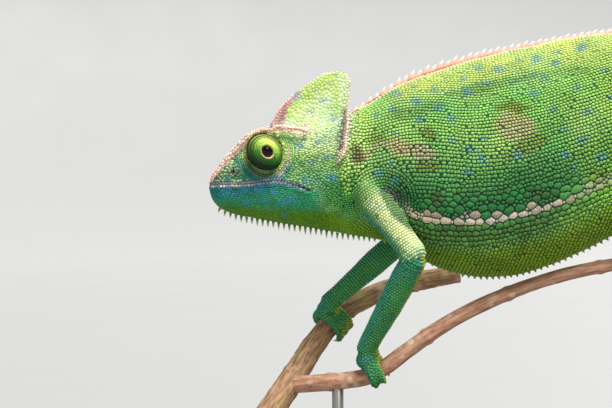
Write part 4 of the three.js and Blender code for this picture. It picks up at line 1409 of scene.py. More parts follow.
class ScaleForm:
    """A closed scale: rings of (reach, height) from the sunken foot to the shoulder, then the crown."""

    def __init__(self, sides, rings, crown):
        foot = rings[0][1]
        reach, height = (np.array(column) for column in zip(*rings))

        def place(angle, share, pole):
            at = share * (len(rings) - 1)
            r = np.interp(at, range(len(rings)), reach) * ~pole
            z = np.where(pole, np.where(share > 0.5, crown, foot), np.interp(at, range(len(rings)), height))
            return round_axis(angle, r, z)

        places, self.faces = taken_apart(loft(sides, len(rings), place))
        x, y, self.height = places.T
        self.sides, self.reach = sides, np.hypot(x, y)
        swing = np.arctan2(y, x)
        self.side = np.round(swing / (2 * math.pi) * sides).astype(int) % sides
        # rise leads each scale's painted light and shade: dark at the sunken foot and light on the crown,
        # lighter on the sides along a row and darker on the sides across the rows, so the grooves between
        # rows read as shade.
        self.rise = np.clip((self.height - foot) / (crown - foot), 0, 1)
        lengthwise, crosswise = np.abs(np.cos(swing)), np.abs(np.sin(swing))
        self.rise += (self.reach > 0) * (0.62 * lengthwise * (1 - self.rise) - 0.26 * crosswise)
        self.towards = round_axis(np.arange(sides) * 2 * math.pi / sides)


SMALL_SCALE = ScaleForm(8, [(1, -0.5), (0.86, 0.74)], 1)
PLATE = ScaleForm(14, [(1, -0.5), (0.96, 0.5), (0.78, 0.92)], 1)
PLATE_FROM = 0.62  # half size from which a scale is a plate


def joined_copies(name, form, centres, frames, radii, heights, roots, values):
    """One mesh of scales, each fitted to its own radii, with its UV patch and its values per scale."""
    cos, sin = form.towards[form.side].T
    reach = radii[:, form.side] * form.reach
    places = centres[:, None]
    for axis, offset in zip(frames, (reach * cos, reach * sin, heights[:, None] * form.height)):
        places = places + axis[:, None] * offset[:, :, None]
    count, size = len(centres), len(form.side)
    corners = np.concatenate(form.faces)
    lengths = np.array([len(face) for face in form.faces])
    starts = np.concatenate([[0], np.cumsum(lengths)[:-1]])
    offset = np.arange(count)[:, None]
    mesh = bpy.data.meshes.new(name)
    mesh.vertices.add(count * size)
    store(mesh.vertices, "co", in_row(places))
    mesh.loops.add(count * len(corners))
    store(mesh.loops, "vertex_index", corners + offset * size, np.int32)
    mesh.polygons.add(count * len(lengths))
    store(mesh.polygons, "loop_start", starts + offset * len(corners), np.int32)
    mesh.update(calc_edges=True)
    patch = columns(form.reach * cos, form.reach * sin)[corners]
    store(mesh.uv_layers.new(name="OFBake").data, "uv", roots[:, None] + patch[None] * PATCH_SIZE / 2)
    for layer_name in ("marking", "between"):
        paint_colours(mesh, layer_name, np.repeat(values[layer_name], size, axis=0))
    paint_points(mesh, crown=np.tile(form.rise, count), tone=np.repeat(values["tone"], size),
                 plate=np.full(count * size, float(form is PLATE)))
    return mesh


PATCH_SIZE = 0.003  # how wide each scale is on the map


def fitted_radii(rows, frames, towards, coat):
    """How far each scale reaches towards each side before it meets its neighbours."""
    tree = tree_of(rows[:, :3])
    near = np.array([[hit[1] for hit in tree.find_n(row[:3], NEIGHBOURS + 1)][1:] for row in rows])
    offset = rows[near, :3] - rows[:, None, :3]
    flat = columns(*((offset * axis[:, None]).sum(axis=2) for axis in frames[:2]))
    normal = frames[2]
    facing = (normal[near] * normal[:, None]).sum(axis=2) > 0.1
    longer = rows[:, LONGER]
    own = oval(rows[:, SIZE], longer, flat[:, :, 0].T, flat[:, :, 1].T).T
    share = own / (own + oval(rows[near, SIZE], rows[near, LONGER], flat[:, :, 0], flat[:, :, 1]))
    reach = np.einsum("njc,kc->njk", flat, towards)
    border = (flat**2).sum(axis=2) * share
    limit = np.where((reach > 0.05) & facing[:, :, None], border[:, :, None] / np.maximum(reach, 0.05), 9)
    size = oval(rows[:, SIZE], longer, *towards.T[:, :, None]).T
    spare = (coat.gap + (coat.row_gap - coat.gap) * np.abs(towards[:, 1])) / 2 * rows[:, SPARE, None]
    most = np.where(rows[:, SIZE, None] > PLATE_FROM, 1.7, 1.42)
    reach = np.clip(limit.min(axis=1) - spare, 0.4 * size, most * size)
    half = (rows[:, SIZE] / longer)[:, None] * 1.04 - spare
    in_row = (rows[:, RANK, None] >= 3) & (rows[:, RANK, None] < 5)
    return np.where(in_row, np.minimum(reach, half / np.maximum(np.abs(towards[:, 1]), 0.01)), reach)


def oval(size, longer, x, y):
    """The reach of an oval of a given size towards (x, y), where it is longer along x."""
    return size * np.hypot(x, y) / np.hypot(x / longer, y * longer)


def unwrap(points, kinds):
    """A flat map of the skin's own shape, in millimetres, with every limb on a strip of its own."""
    x, y, z = points.T
    back = np.interp(x, SECTIONS_AT, ARCS[:, -1])
    flat = columns(x, np.where(y < 0, -1, 1) * (back - body_arc(points)))
    casque = kinds == "casque"
    flat[casque] = columns(x, np.where(y < 0, -1, 1) * (z + 40))[casque]
    strips = [(TAIL, kinds == "tail")]
    for leg, (upper, lower, _) in LIMBS.items():
        strips += [(upper, kinds == leg + "_upper"), (lower, kinds == leg + "_lower"),
                   (lower, kinds == leg + "_foot")]
    for number, (tube, at) in enumerate(strips):
        if at.any():
            share, angle, _ = tube.locate(points[at])
            flat[at] = columns(share * tube.length, angle * tube.radii.mean() + 40 * number)
    return flat


def in_unit_square(flat):
    low, high = flat.min(axis=0), flat.max(axis=0)
    return 0.01 + 0.98 * (flat - low) / np.maximum(high - low, 1e-6)


def coat_groups(places, kinds):
    """The scales of each coat piece, so that no piece grows too heavy."""
    left, head = places[:, 1] < 0, places[:, 0] < NECK_FROM
    body = np.isin(kinds, BODY_KINDS)
    front = np.char.startswith(kinds, "front")
    groups = {
        "head": body & head, "casque": kinds == "casque", "left_flank": body & ~head & left,
        "right_flank": body & ~head & ~left, "front_legs": front, "hind_legs": np.char.startswith(kinds,
                                                                                                  "hind"),
        "tail": kinds == "tail",
    }
    for name, members in groups.items():
        members = np.flatnonzero(members)
        members = members[np.argsort(places[members, 0], kind="stable")]
        shares = np.array_split(members, math.ceil(len(members) / MOST_SCALES))
        for number, part in enumerate(shares):
            yield f"scales_{name}_{number + 1}" if len(shares) > 1 else f"scales_{name}", part


MOST_SCALES = 5600

# ------------------------------------------------------------------ materials


class Value:
    """A number in a material. Sums and products of values add their Math nodes."""

    def __init__(self, finish, socket):
        self.finish, self.socket = finish, socket

    def maths(self, operation, *others):
        return self.finish.node("ShaderNodeMath", {"operation": operation}, dict(enumerate((self, *others))))

    def __add__(self, other):
        return self.maths("ADD", other)

    def __mul__(self, other):
        return self.maths("MULTIPLY", other)

    def __rsub__(self, other):
        return self.maths("MULTIPLY", -1) + other

    __radd__ = __add__
    __rmul__ = __mul__

    def clear_of(self, low, high):
        """0 at low and 1 at high, smooth between."""
        return self.finish.node("ShaderNodeMapRange", {"interpolation_type": "SMOOTHSTEP"},
                                {0: self, 1: low, 2: high, 3: 0, 4: 1})


class Finish:
    """A material that is built up from nodes."""

    def __init__(self, name, roughness=0.5, metallic=0.0, **constants):
        self.material = bpy.data.materials.new(name)
        self.material.use_nodes = True
        self.tree = self.material.node_tree
        self.shader = self.tree.nodes["Principled BSDF"]
        self.feed("Roughness", roughness)
        self.feed("Metallic", metallic)
        for socket, value in constants.items():
            self.feed(socket.replace("_", " ").title().replace("Ior", "IOR"), value)

    def made(self, hue, roughness=None):
        self.feed("Base Color", hue)
        if roughness:
            self.feed("Roughness", roughness)
        return self.material

    def feed(self, socket, value, node=None):
        target = (node or self.shader).inputs[socket]
        if isinstance(value, Value):
            self.tree.links.new(value.socket, target)
        elif target.type == "RGBA":
            target.default_value = (*value[:3], 1)
        else:
            target.default_value = value

    def node(self, kind, settings, values, output=0):
        made = self.tree.nodes.new(kind)
        for name, setting in settings.items():
            setattr(made, name, setting)
        for socket, value in values.items():
            self.feed(socket, value, made)
        return Value(self, made.outputs[output])

    def place(self):
        return self.node("ShaderNodeTexCoord", {}, {}, "Object")

    def attribute(self, name, output="Fac"):
        return self.node("ShaderNodeAttribute", {"attribute_name": name}, {}, output)

    def noise(self, scale, detail=3.0, roughness=0.55, at=None, distortion=0.0):
        return self.node("ShaderNodeTexNoise", {}, {"Vector": at or self.place(), "Scale": scale,
                         "Detail": detail, "Roughness": roughness, "Distortion": distortion})

    def cells(self, scale, at=None, feature="F1", output="Distance"):
        return self.node("ShaderNodeTexVoronoi", {"feature": feature},
                         {"Vector": at or self.place(), "Scale": scale}, output)

    def stretched(self, x, y, z):
        return self.node("ShaderNodeMapping", {}, {"Vector": self.place(), "Scale": (x, y, z)})

    def mix(self, share, low, high, blend="MIX"):
        return self.node("ShaderNodeMix", {"data_type": "RGBA", "blend_type": blend},
                         {0: share, 6: low, 7: high}, 2)

    def bump(self, *heights):
        """Raises the surface by values, each with its depth in metres."""
        total = None
        for value, depth in heights:
            total = value * depth if total is None else total + value * depth
        self.feed("Normal", self.node("ShaderNodeBump", {}, {"Height": total, "Distance": 1.0}, "Normal"))


def hide_finish(name, scales):
    """The hide: bright crowns on the scales and darker skin between them, painted as light on the crowns and
    as shade in the grooves.
    """
    finish = Finish(name, specular_ior_level=0.28)
    # the painted shade of the skin between the scales
    deep = finish.attribute("between", "Color")
    grain = finish.noise(2600, 2)
    if scales:
        marking = finish.attribute("marking", "Color")
        crown, tone, plate = (finish.attribute(value) for value in ("crown", "tone", "plate"))
        bright = finish.mix(tone, finish.mix(1.0, marking, (0.78, 0.84, 0.78), "MULTIPLY"), marking)
        # painted shade in the fine creases on the plates
        crease_shade = (1 - finish.cells(1150, None, "DISTANCE_TO_EDGE").clear_of(0.0, 0.16)) * plate
        bright = finish.mix(plate * 0.3, bright, finish.mix(1.0, marking, (1.5, 1.5, 1.2), "MULTIPLY"))
        bright = finish.mix(crease_shade * 0.6, bright, finish.mix(0.45, deep, marking))
        # painted light and shade on each scale: the crown takes the lit colour, the foot and the sides across
        # the rows the shaded colour between the scales
        hue = finish.mix(crown.clear_of(0.22, 0.78), deep, bright)
        finish.bump((grain, 0.00003), (finish.cells(2200), 0.00003), (crease_shade, -0.00008))
        return finish.made(hue, 0.5 + grain * 0.22)
    finish.bump((grain, 0.00005))
    # the bare skin shows the painted shade of the grooves between the scales
    return finish.made(deep, 0.55 + grain * 0.2)


def turret_finish():
    finish = Finish("eye_turret", specular_ior_level=0.22)
    rise, reach, groove = (finish.attribute(name) for name in ("rise", "reach", "groove"))
    # painted light and shade: the turret is dark green on its lower side, away from the light, and pale
    # yellow green on its upper side
    lit = finish.mix(rise.clear_of(-0.8, 0.1), tint(12, 40, 18), tint(56, 134, 34))
    lit = finish.mix(rise.clear_of(0.0, 0.7), lit, tint(172, 196, 78))
    speckle = finish.noise(1500, 3).clear_of(0.42, 0.62)
    # pale speckles of the granules, shown only on the lit upper side as painted highlights
    lit = finish.mix(speckle * 0.3 * rise.clear_of(-0.4, 0.3), lit, tint(224, 228, 120))
    # painted shade: dark lines in the grooves
    hue = finish.mix(groove, lit, tint(6, 24, 14))
    # the pale lip of the opening: its own colour, dimmed on its upper side as painted shade
    lip = (1 - reach.clear_of(1.85, 2.1)) * reach.clear_of(1.2, 1.5) * (1 - rise.clear_of(-0.1, 0.3) * 0.75)
    hue = finish.mix(lip, hue, tint(224, 190, 150))
    finish.bump((finish.cells(1900), 0.00012), (finish.noise(3200), 0.00004))
    return finish.made(hue, 0.42 + speckle * 0.2)


def eyeball_finish():
    finish = Finish("eyeball", 0.12, specular_ior_level=0.25)
    iris = finish.attribute("reach").clear_of(1.36, 1.46)
    return finish.made(finish.mix(iris, tint(3, 2, 3), tint(112, 70, 50)))


def spine_finish(name, root, middle, tip):
    finish = Finish(name, specular_ior_level=0.4)
    rise = finish.attribute("rise")
    hue = finish.mix(rise.clear_of(0.05, 0.45), root, middle)
    hue = finish.mix(rise.clear_of(0.45, 0.85), hue, tip)
    blotch = finish.noise(900, 3)
    finish.bump((finish.noise(2400), 0.00005))
    return finish.made(finish.mix(blotch.clear_of(0.5, 0.7) * 0.3, hue, root), 0.4 + blotch * 0.3)


def horn_finish():
    finish = Finish("claw_horn", 0.3, coat_weight=0.3, specular_ior_level=0.5)
    finish.bump((finish.noise(3000), 0.00003))
    return finish.made(finish.mix(finish.attribute("rise").clear_of(0, 0.9), tint(150, 160, 110),
                                  tint(96, 84, 62)))


def bark_finish(name, light, dark, green=0.0):
    """Smooth young bark with fine cracks, pale breathing pores and a paler cut end."""
    finish = Finish(name, specular_ior_level=0.3)
    along = finish.node("ShaderNodeUVMap", {"uv_map": "bark"}, {}, 0)
    drawn = finish.node("ShaderNodeMapping", {}, {"Vector": along, "Scale": (0.16, 1, 1)})
    streak = finish.noise(7, 6, 0.65, drawn)
    blotch = finish.noise(0.9, 4, 0.6, along)
    hue = finish.mix(streak.clear_of(0.35, 0.66), dark, light)
    hue = finish.mix(blotch.clear_of(0.52, 0.7) * 0.5, hue, tint(214, 186, 158))
    hue = finish.mix(blotch.clear_of(0.5, 0.3) * green, hue, tint(150, 158, 84))
    pore = 1 - finish.cells(0.9, along).clear_of(0.1, 0.2)
    hue = finish.mix(pore * 0.5, hue, tint(222, 200, 170))
    cut = finish.attribute("cut")
    rings = finish.noise(9, 2, 0.5, along)
    hue = finish.mix(cut, hue, finish.mix(rings, tint(226, 196, 150), tint(196, 158, 108)))
    finish.bump((streak, 0.0002), (blotch, 0.0003), (pore, 0.0001))
    return finish.made(hue, 0.6 + streak * 0.25)


def wood_finish():
    """Dark stained wood with its grain along the base, under a thin satin varnish."""
    finish = Finish("base_wood", coat_weight=0.35, coat_roughness=0.25)
    drawn = finish.stretched(3, 42, 42)
    grain = finish.noise(3, 6, 0.6, drawn, 0.6)
    pores = finish.noise(26, 3, 0.6, drawn)
    hue = finish.mix(grain.clear_of(0.3, 0.7), tint(46, 32, 24), tint(84, 58, 40))
    hue = finish.mix(pores.clear_of(0.56, 0.66) * 0.7, hue, tint(26, 18, 14))
    finish.bump((pores, 0.00006))
    return finish.made(hue, 0.36 + grain * 0.2)


def steel_finish():
    finish = Finish("rod_steel", metallic=1.0)
    lines = finish.noise(1, 3, 0.6, finish.stretched(9000, 9000, 60))
    return finish.made(finish.mix(lines, tint(150, 148, 142), tint(196, 194, 188)), 0.24 + lines * 0.16)


def stage_finish():
    finish = Finish("studio_floor", 0.6, emission_color=(1, 1, 1), emission_strength=0.27)
    cloud = finish.noise(9, 3)
    return finish.made(finish.mix(cloud * 0.5, tint(112, 112, 110), tint(106, 107, 105)), 0.55 + cloud * 0.1)


# ------------------------------------------------------------------ eyes, spines, claws, perch and stand


def turned(profile, steps):
    """A closed form turned round the Y axis from (reach, height) points that start and end on it."""
    bm = bmesh.new()
    verts = [bm.verts.new((reach, height, 0)) for reach, height in profile]
    edges = [bm.edges.new(pair) for pair in zip(verts, verts[1:])]
    bmesh.ops.spin(bm, geom=verts + edges, cent=(0, 0, 0), axis=(0, 1, 0), angle=2 * math.pi, steps=steps,
                   use_merge=True)
    bmesh.ops.remove_doubles(bm, verts=bm.verts, dist=1e-4)
    bmesh.ops.recalc_face_normals(bm, faces=bm.faces)
    return bm


TURRET_CURVE = [(1.95, 6.3), (2.6, 5.9), (3.47, 4.95), (4.2, 4.15), (4.7, 3.4), (5.15, 2.5), (5.43, 1.6),
                (5.6, 0)]
GROOVES = [(4.6, 0.26, 0.36), (4.0, 0.15, 0.2), (3.4, 0.09, 0.05), (2.8, 0.09, 0.05), (5.3, 0.28, 0.36)]


def turret_profile():
    """The turret from the floor of its opening, over its lip and down its grooved dome."""
    dense = curve(TURRET_CURVE, 150)
    outward = unit(columns(-np.gradient(dense[:, 1]), np.gradient(dense[:, 0])))
    depth = sum(deep * hump(dense[:, 0] - reach, width) for reach, width, deep in GROOVES)
    swell = 0.12 * hump(dense[:, 0] - 4.95, 0.25) + 0.1 * hump(dense[:, 0] - 2.15, 0.2)
    dome = dense + outward * (swell - depth)[:, None]
    inner = [(0, 4.85), (1.6, 4.85), (1.72, 5.6), (1.8, 6.1)]
    return inner + [tuple(point) for point in dome] + [(5.3, -2), (4.6, -3), (0, -3)]


def eye_mesh(name, profile, hand, steps):
    bm = turned(profile, steps)
    mesh = as_mesh(bm, name)
    local = read(mesh.vertices, "co", 3)
    reach = np.hypot(local[:, 0], local[:, 2])
    look = Vector((EYE_LOOK[0], EYE_LOOK[1] * hand, EYE_LOOK[2])).normalized()
    turn = np.array(Vector((0, 1, 0)).rotation_difference(look).to_matrix())
    places = (local * EYE_OVAL) @ turn.T + EYE * (1, hand, 1)
    groove = sum(min(1, 4.5 * deep) * hump(reach - at, width) for at, width, deep in GROOVES)
    groove = groove + step(5.35, 5.5, reach)
    # rise runs up and back, towards the light, and leads the turret's painted light and shade; groove places
    # the painted shade of the grooves
    paint_points(mesh, reach=reach, rise=((places - EYE)[:, [0, 2]] @ (0.35, 0.95)) / 5.6,
                 groove=np.clip(groove, 0, 1) * (local[:, 1] > 0))
    set_places(mesh, places)
    return move_to_row(mesh)


class Seed:
    """A small closed form that is copied many times into one mesh."""

    def __init__(self, sides, rings, bend=0.4, squeeze=0.6, power=0.75):
        def place(angle, share, pole):
            tip = pole & (share > 0.5)
            reach = np.where(pole, 0, 0.5 * (1 - share * 0.97) ** power)
            height = np.where(tip, 1.0, np.where(pole, 0, share * 0.96))
            return columns(reach * np.cos(angle) + bend * height**2, squeeze * reach * np.sin(angle), height)

        self.places, self.faces = taken_apart(loft(sides, rings, place))

    def sown(self, name, roots, axes):
        """One mesh of copies; axes holds the X, Y and Z vectors of each copy as rows."""
        parts = bmesh.new()
        for places in roots[:, None] + np.einsum("kj,njc->nkc", self.places, axes):
            verts = [parts.verts.new(place) for place in places]
            for face in self.faces:
                parts.faces.new([verts[index] for index in face])
        bmesh.ops.recalc_face_normals(parts, faces=parts.faces)
        mesh = move_to_row(as_mesh(parts, name))
        paint_points(mesh, rise=np.tile(self.places[:, 2], len(roots)))
        return mesh


def crest(x, column, up, lengths, width, lean, sunk=0.45):
    """Roots and axes of a row of spines along the back or the underside."""
    ridge = section(x)[column]
    slope = (section(x + 0.5)[column] - section(x - 0.5)[column])
    outward = unit(unit(columns(-slope, 0, 1)) * up + np.array([lean, 0, 0]))
    forward = unit(columns(1, 0, slope))
    axes = [forward * width, np.cross(outward, forward) * width, outward * (lengths + sunk)[:, None]]
    return columns(x, 0, ridge - up * sunk), np.stack(axes, axis=1)


def bark_relief(seed, depth, knots):
    def relief(angle, share):
        at, fine = round_axis(angle, 2.2, share * 26), round_axis(angle, 7, share * 60)
        swell = sum(0.3 * hump(share - knot, 0.008) for knot in knots)
        return depth * (noise(at, 1, seed) + 0.5 * noise(fine, 1, seed + 1)) + swell

    return relief


def bark_mesh(name, tube, rings, relief):
    bm = tube.loft(40, rings, relief=relief)
    mesh = as_mesh(bm, name)
    places = read(mesh.vertices, "co", 3)
    share, angle, _ = tube.locate(places)
    end = np.minimum(share, 1 - share) * tube.length
    reach = np.linalg.norm(places - tube.at(np.clip(share, 0, 1))[0], axis=1)
    paint_points(mesh, cut=(end < 0.3) * (reach < 0.5))
    corners = read(mesh.loops, "vertex_index", 1, np.int32)
    around = angle[corners] / (2 * math.pi)
    first = np.repeat(around[read(mesh.polygons, "loop_start", 1, np.int32)],
                      read(mesh.polygons, "loop_total", 1, np.int32))
    around = around + np.round(first - around)
    uv = columns(share[corners] * tube.length / 6, around * tube.radii.mean() * 2 * math.pi / 6)
    store(mesh.uv_layers.new(name="bark").data, "uv", uv)
    return move_to_row(mesh)


def base_mesh(corner, edge):
    """The flat base: a block with round corners and softened edges."""
    bm = bmesh.new()
    bmesh.ops.create_cube(bm, size=1)
    size = BASE_HIGH - BASE_LOW
    bmesh.ops.scale(bm, vec=size, verts=bm.verts)
    bmesh.ops.translate(bm, vec=(BASE_HIGH + BASE_LOW) / 2, verts=bm.verts)
    upright = [e for e in bm.edges if abs(e.verts[0].co.z - e.verts[1].co.z) > size.z / 2]
    bmesh.ops.bevel(bm, geom=upright, offset=corner, affect="EDGES", segments=12, profile=0.5, material=-1)
    rims = [e for e in bm.edges if len(e.link_faces) == 2 and e.calc_face_angle(0) > 1]
    bmesh.ops.bevel(bm, geom=rims, offset=edge, affect="EDGES", segments=4, profile=0.5, material=-1)
    return as_mesh(bm, "base")


def rod_mesh(name):
    """A rod with a turned collar where it stands in the base."""
    low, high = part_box(name)
    middle, radius = (low + high) / 2, (high.x - low.x) / 2
    height = high.z - low.z
    collar, lip = radius * 1.9, radius * 0.18
    profile = [(0, 0), (collar, 0), (collar, lip * 4), (collar - lip, lip * 5), (radius + lip, lip * 6),
               (radius, lip * 8), (radius, height - lip), (radius - lip, height), (0, height)]
    bm = turned(profile, 40)
    upright = Vector((0, 1, 0)).rotation_difference(Vector((0, 0, 1))).to_matrix()
    bmesh.ops.rotate(bm, cent=(0, 0, 0), matrix=upright, verts=bm.verts)
    bmesh.ops.translate(bm, vec=(middle.x, middle.y, low.z), verts=bm.verts)
    return as_mesh(bm, name)


def dish_mesh(flat, bend, height):
    """The floor, turning up smoothly all round into a backdrop."""
    bm = bmesh.new()
    bmesh.ops.create_uvsphere(bm, u_segments=96, v_segments=64, radius=1)
    lower = [vert for vert in bm.verts if vert.co.z > 0.01]
    bmesh.ops.delete(bm, geom=lower, context="VERTS")
    bmesh.ops.reverse_faces(bm, faces=bm.faces)
    quarter = bend * math.pi / 2
    for vert in bm.verts:
        turn = math.acos(max(-1, min(1, -vert.co.z)))
        along = turn / (math.pi / 2) * (flat + quarter + height)
        lift = min(max((along - flat) / bend, 0), math.pi / 2)
        reach = min(along, flat) + bend * math.sin(lift)
        side = vert.co.xy.normalized() if turn > 1e-4 else Vector((0, 0))
        vert.co = (side.x * reach, side.y * reach,
                   bend * (1 - math.cos(lift)) + max(along - flat - quarter, 0))
    return as_mesh(bm, "dish")


# ------------------------------------------------------------------ settings


def length(name, description, value):
    return FloatProperty(name=name, description=description, default=value * MM, min=0, unit="LENGTH")


class ChameleonCoat(bpy.types.PropertyGroup):
    """The sizes of the scales."""

    flank_width: length("Flank scale width", "Along a row on the flanks", 0.96)
    head_width: length("Head scale width", "Along a row on the cheeks", 0.82)
    limb_pitch: length("Leg ring pitch", "Between the rings of scales on the legs", 0.84)
    foot_pitch: length("Foot scale size", "Across a scale on the feet", 0.78)
    tail_pitch: length("Tail ring pitch", "Between the rings of scales on the tail", 0.96)
    gap: length("Gap", "Bare skin between two scales of a row", 0.01)
    row_gap: length("Row gap", "Bare skin between two rows", 0.15)
    dome: length("Dome", "How far a scale stands over the skin", 0.27)
    voxel: length("Skin detail", "Size of the skin's faces", 0.63)
    tries: IntProperty(name="Tries", description="Places from which the scales are chosen", default=1100000)


class ChameleonCrest(bpy.types.PropertyGroup):
    """The rows of spines."""

    back_pitch: length("Back pitch", "Between two spines of the back", 2.1)
    back_height: length("Back height", "Of the tallest spines of the back", 2.3)
    throat_pitch: length("Throat pitch", "Between two spines of the throat", 1.6)
    throat_height: length("Throat height", "Of the longest spines of the throat", 2.0)
    belly_pitch: length("Belly pitch", "Between two spines of the belly", 1.8)
    belly_height: length("Belly height", "Of the spines of the belly", 0.55)


class ChameleonStand(bpy.types.PropertyGroup):
    """The stand."""

    corner: length("Corner", "Radius of the base's corners", 18)
    edge: length("Edge", "Rounding of the base's edges", 1.2)


class ChameleonStage(bpy.types.PropertyGroup):
    """The studio."""

    lens: FloatProperty(name="Lens", description="Focal length of the camera", default=100, unit="CAMERA")
    view_width: length("View width", "Width of the view at the animal's middle", 183.6)
    key: FloatProperty(name="Key light", description="Strength of the main light", default=5.9)
    fill: FloatProperty(name="Fill light", description="Strength of the front light", default=0.52)
    rim: FloatProperty(name="Rim light", description="Strength of the light from behind", default=2.4)
    ambient: FloatProperty(name="Ambient", description="Strength of the light from all round", default=0.36)


class ChameleonSettings(bpy.types.PropertyGroup):
    """All settings of the chameleon."""

    hide: PointerProperty(type=ChameleonHide)
    coat: PointerProperty(type=ChameleonCoat)
    crest: PointerProperty(type=ChameleonCrest)
    stand: PointerProperty(type=ChameleonStand)
    stage: PointerProperty(type=ChameleonStage)


class Millimetres:
    """A settings group whose lengths are read in millimetres."""

    def __init__(self, group):
        for name in group.__annotations__:
            value = getattr(group, name)
            setattr(self, name, value / MM if isinstance(value, float) else value)


# ------------------------------------------------------------------ operators


class ChameleonStep:
    """What the building steps share."""

    bl_options = {"REGISTER", "UNDO"}


class CHAMELEON_OT_hide(ChameleonStep, bpy.types.Operator):
    """Build the skin over all the flesh, and the coat of scales on it"""

    bl_idname = "chameleon.hide"
    bl_label = "Skin and scales"

    def execute(self, context):
        coat = Millimetres(context.scene.chameleon.coat)
        mesh, parts = make_skin(coat.voxel)
        skin = Skin(mesh, parts)
        hues = markings(skin.places, skin.normals, parts)
        paint_colours(mesh, "between", between(skin.places, parts, hues))
        self.add_scales(skin, grow_coat(skin, coat), coat)
        mesh.name = "skin"
        add_piece("skin", move_to_row(mesh), hide_finish("hide_skin", False), "skin", *FLESH)
        return {"FINISHED"}

    def add_scales(self, skin, rows, coat):
        places, normals, kinds = skin.settle(rows[:, :3])
        hues = markings(places, normals, kinds)
        deep = between(places, kinds, hues)
        along, across = tangents(normals, rows[:, 3:6])
        frames = along, across, normals
        finish = hide_finish("hide_scales", True)
        rng = np.random.default_rng(SEED + 4)
        tone = rng.uniform(0.15, 1, len(rows))
        casque, big = kinds == "casque", rows[:, SIZE] > PLATE_FROM
        head = ~casque & np.isin(kinds, BODY_KINDS) & (places[:, 0] < HEAD_REAR)
        rows = np.column_stack([rows, np.select([casque | head, big], [0.35, 2.1], 1)])
        heights = np.minimum(coat.dome, 0.7 * rows[:, SIZE]) * rows[:, HEIGHT] * rng.uniform(0.85, 1.1,
                                                                                             len(rows))
        heights *= np.select([casque, head], [0.42, 0.62], 1)
        varied = 1 + np.select([big, head], [0.27, 0.24], 0.1) * rng.uniform(-1, 0.85, len(rows))
        hues = np.clip(hues * varied[:, None], 0, 0.95)
        roots = unwrap(places, kinds)
        radii = {form.sides: fitted_radii(rows, frames, form.towards, coat) for form in (SMALL_SCALE, PLATE)}
        for name, members in coat_groups(places, kinds):
            uv = in_unit_square(roots[members])
            for form, chosen, suffix in ((SMALL_SCALE, ~big[members], ""), (PLATE, big[members], "_plates")):
                if not chosen.any():
                    continue
                at = members[chosen]
                mesh = joined_copies(name + suffix, form, places[at], [axis[at] for axis in frames],
                                     radii[form.sides][at], heights[at], uv[chosen],
                                     {"marking": hues[at], "between": deep[at], "tone": tone[at]})
                slot = "casque" if "casque" in name else "limb" if "legs" in name else "skin"
                add_piece(name + suffix, mesh, finish, slot)


class CHAMELEON_OT_eyes(ChameleonStep, bpy.types.Operator):
    """Build the two scaly eye turrets and the eyes that look out of them"""

    bl_idname = "chameleon.eyes"
    bl_label = "Eyes"

    def execute(self, context):
        scaly, glossy = turret_finish(), eyeball_finish()
        sphere = [(0, 4.6)] + [(1.62 * math.cos(a), 5.1 + 0.95 * math.sin(a)) for a in np.linspace(-0.3, 1.5,
                                                                                                   14)]
        sphere.append((0, 6.05))
        for side, hand in (("left", -1), ("right", 1)):
            turret = eye_mesh("turret", turret_profile(), hand, 128)
            add_piece(f"turret_{side}", turret, scaly, "turret", f"eye_turret_{side}")
            ball_of_eye = eye_mesh("ball", sphere, hand, 48)
            add_piece(f"pupil_{side}", ball_of_eye, glossy, "pupil", f"eyeball_{side}")
        return {"FINISHED"}


class CHAMELEON_OT_crests(ChameleonStep, bpy.types.Operator):
    """Build the rows of spines along the back, throat and belly"""

    bl_idname = "chameleon.crests"
    bl_label = "Crests"

    def execute(self, context):
        size = Millimetres(context.scene.chameleon.crest)
        rng = np.random.default_rng(SEED + 5)
        thorn, slim = Seed(9, 6, 0.3, 0.5, 0.95), Seed(8, 6, 0.12, 0.9, 0.7)
        x = np.arange(44, 158, size.back_pitch)
        x = x + rng.uniform(-0.12, 0.12, len(x))
        lengths = size.back_height * np.interp(x, [44, 52, 60, 80, 90, 110, 158],
                                               [0.25, 0.6, 1, 0.95, 0.75, 0.5, 0.3])
        lengths *= np.where(np.arange(len(x)) % 2, 0.82, 1.08) * rng.uniform(0.92, 1.08, len(x))
        # the back's spines are salmon at the root: partly their own colour and partly painted shade where
        # they meet the back
        self.add_row("back", "skin", thorn, crest(x, 0, 1, lengths, size.back_pitch * 1.7, 0.45),
                     (190, 138, 112), (212, 170, 146), (240, 226, 216))
        x = np.arange(3.6, 51, size.throat_pitch)
        lengths = size.throat_height * np.interp(x, [3, 12, 26, 40, 51], [0.5, 0.8, 1, 0.85, 0.45])
        lengths *= rng.uniform(0.85, 1.1, len(x))
        self.add_row("throat", "throat", slim, crest(x, 1, -1, lengths, 0.95, 0.12),
                     (70, 118, 40), (118, 154, 74), (204, 196, 120))
        x = np.arange(53, 146, size.belly_pitch)
        lengths = size.belly_height * rng.uniform(0.85, 1.15, len(x))
        self.add_row("belly", "skin", slim, crest(x, 1, -1, lengths, 1.1, 0.1),
                     (96, 136, 24), (128, 140, 40), (186, 164, 84))
        return {"FINISHED"}

    def add_row(self, name, slot, seed, spines, *shades):
        finish = spine_finish(name + "_spines", *(tint(*shade) for shade in shades))
        add_piece(name + "_crest", seed.sown(name + "_crest", *spines), finish, slot)


class CHAMELEON_OT_claws(ChameleonStep, bpy.types.Operator):
    """Build the claws at the ends of all toes"""

    bl_idname = "chameleon.claws"
    bl_label = "Claws"

    def execute(self, context):
        whole = bmesh.new()
        rises = []
        for toes in TOES.values():
            for _, path in toes:
                claw = Tube(curve(path, 24), CLAW_RADII)
                part = as_mesh(claw.loft(10, 14))
                rises.append(claw.locate(read(part.vertices, "co", 3))[0])
                whole.from_mesh(part)
                bpy.data.meshes.remove(part)
        mesh = move_to_row(as_mesh(whole, "claws"))
        paint_points(mesh, rise=np.clip(np.concatenate(rises), 0, 1))
        add_piece("claws", mesh, horn_finish(), "limb")
        return {"FINISHED"}


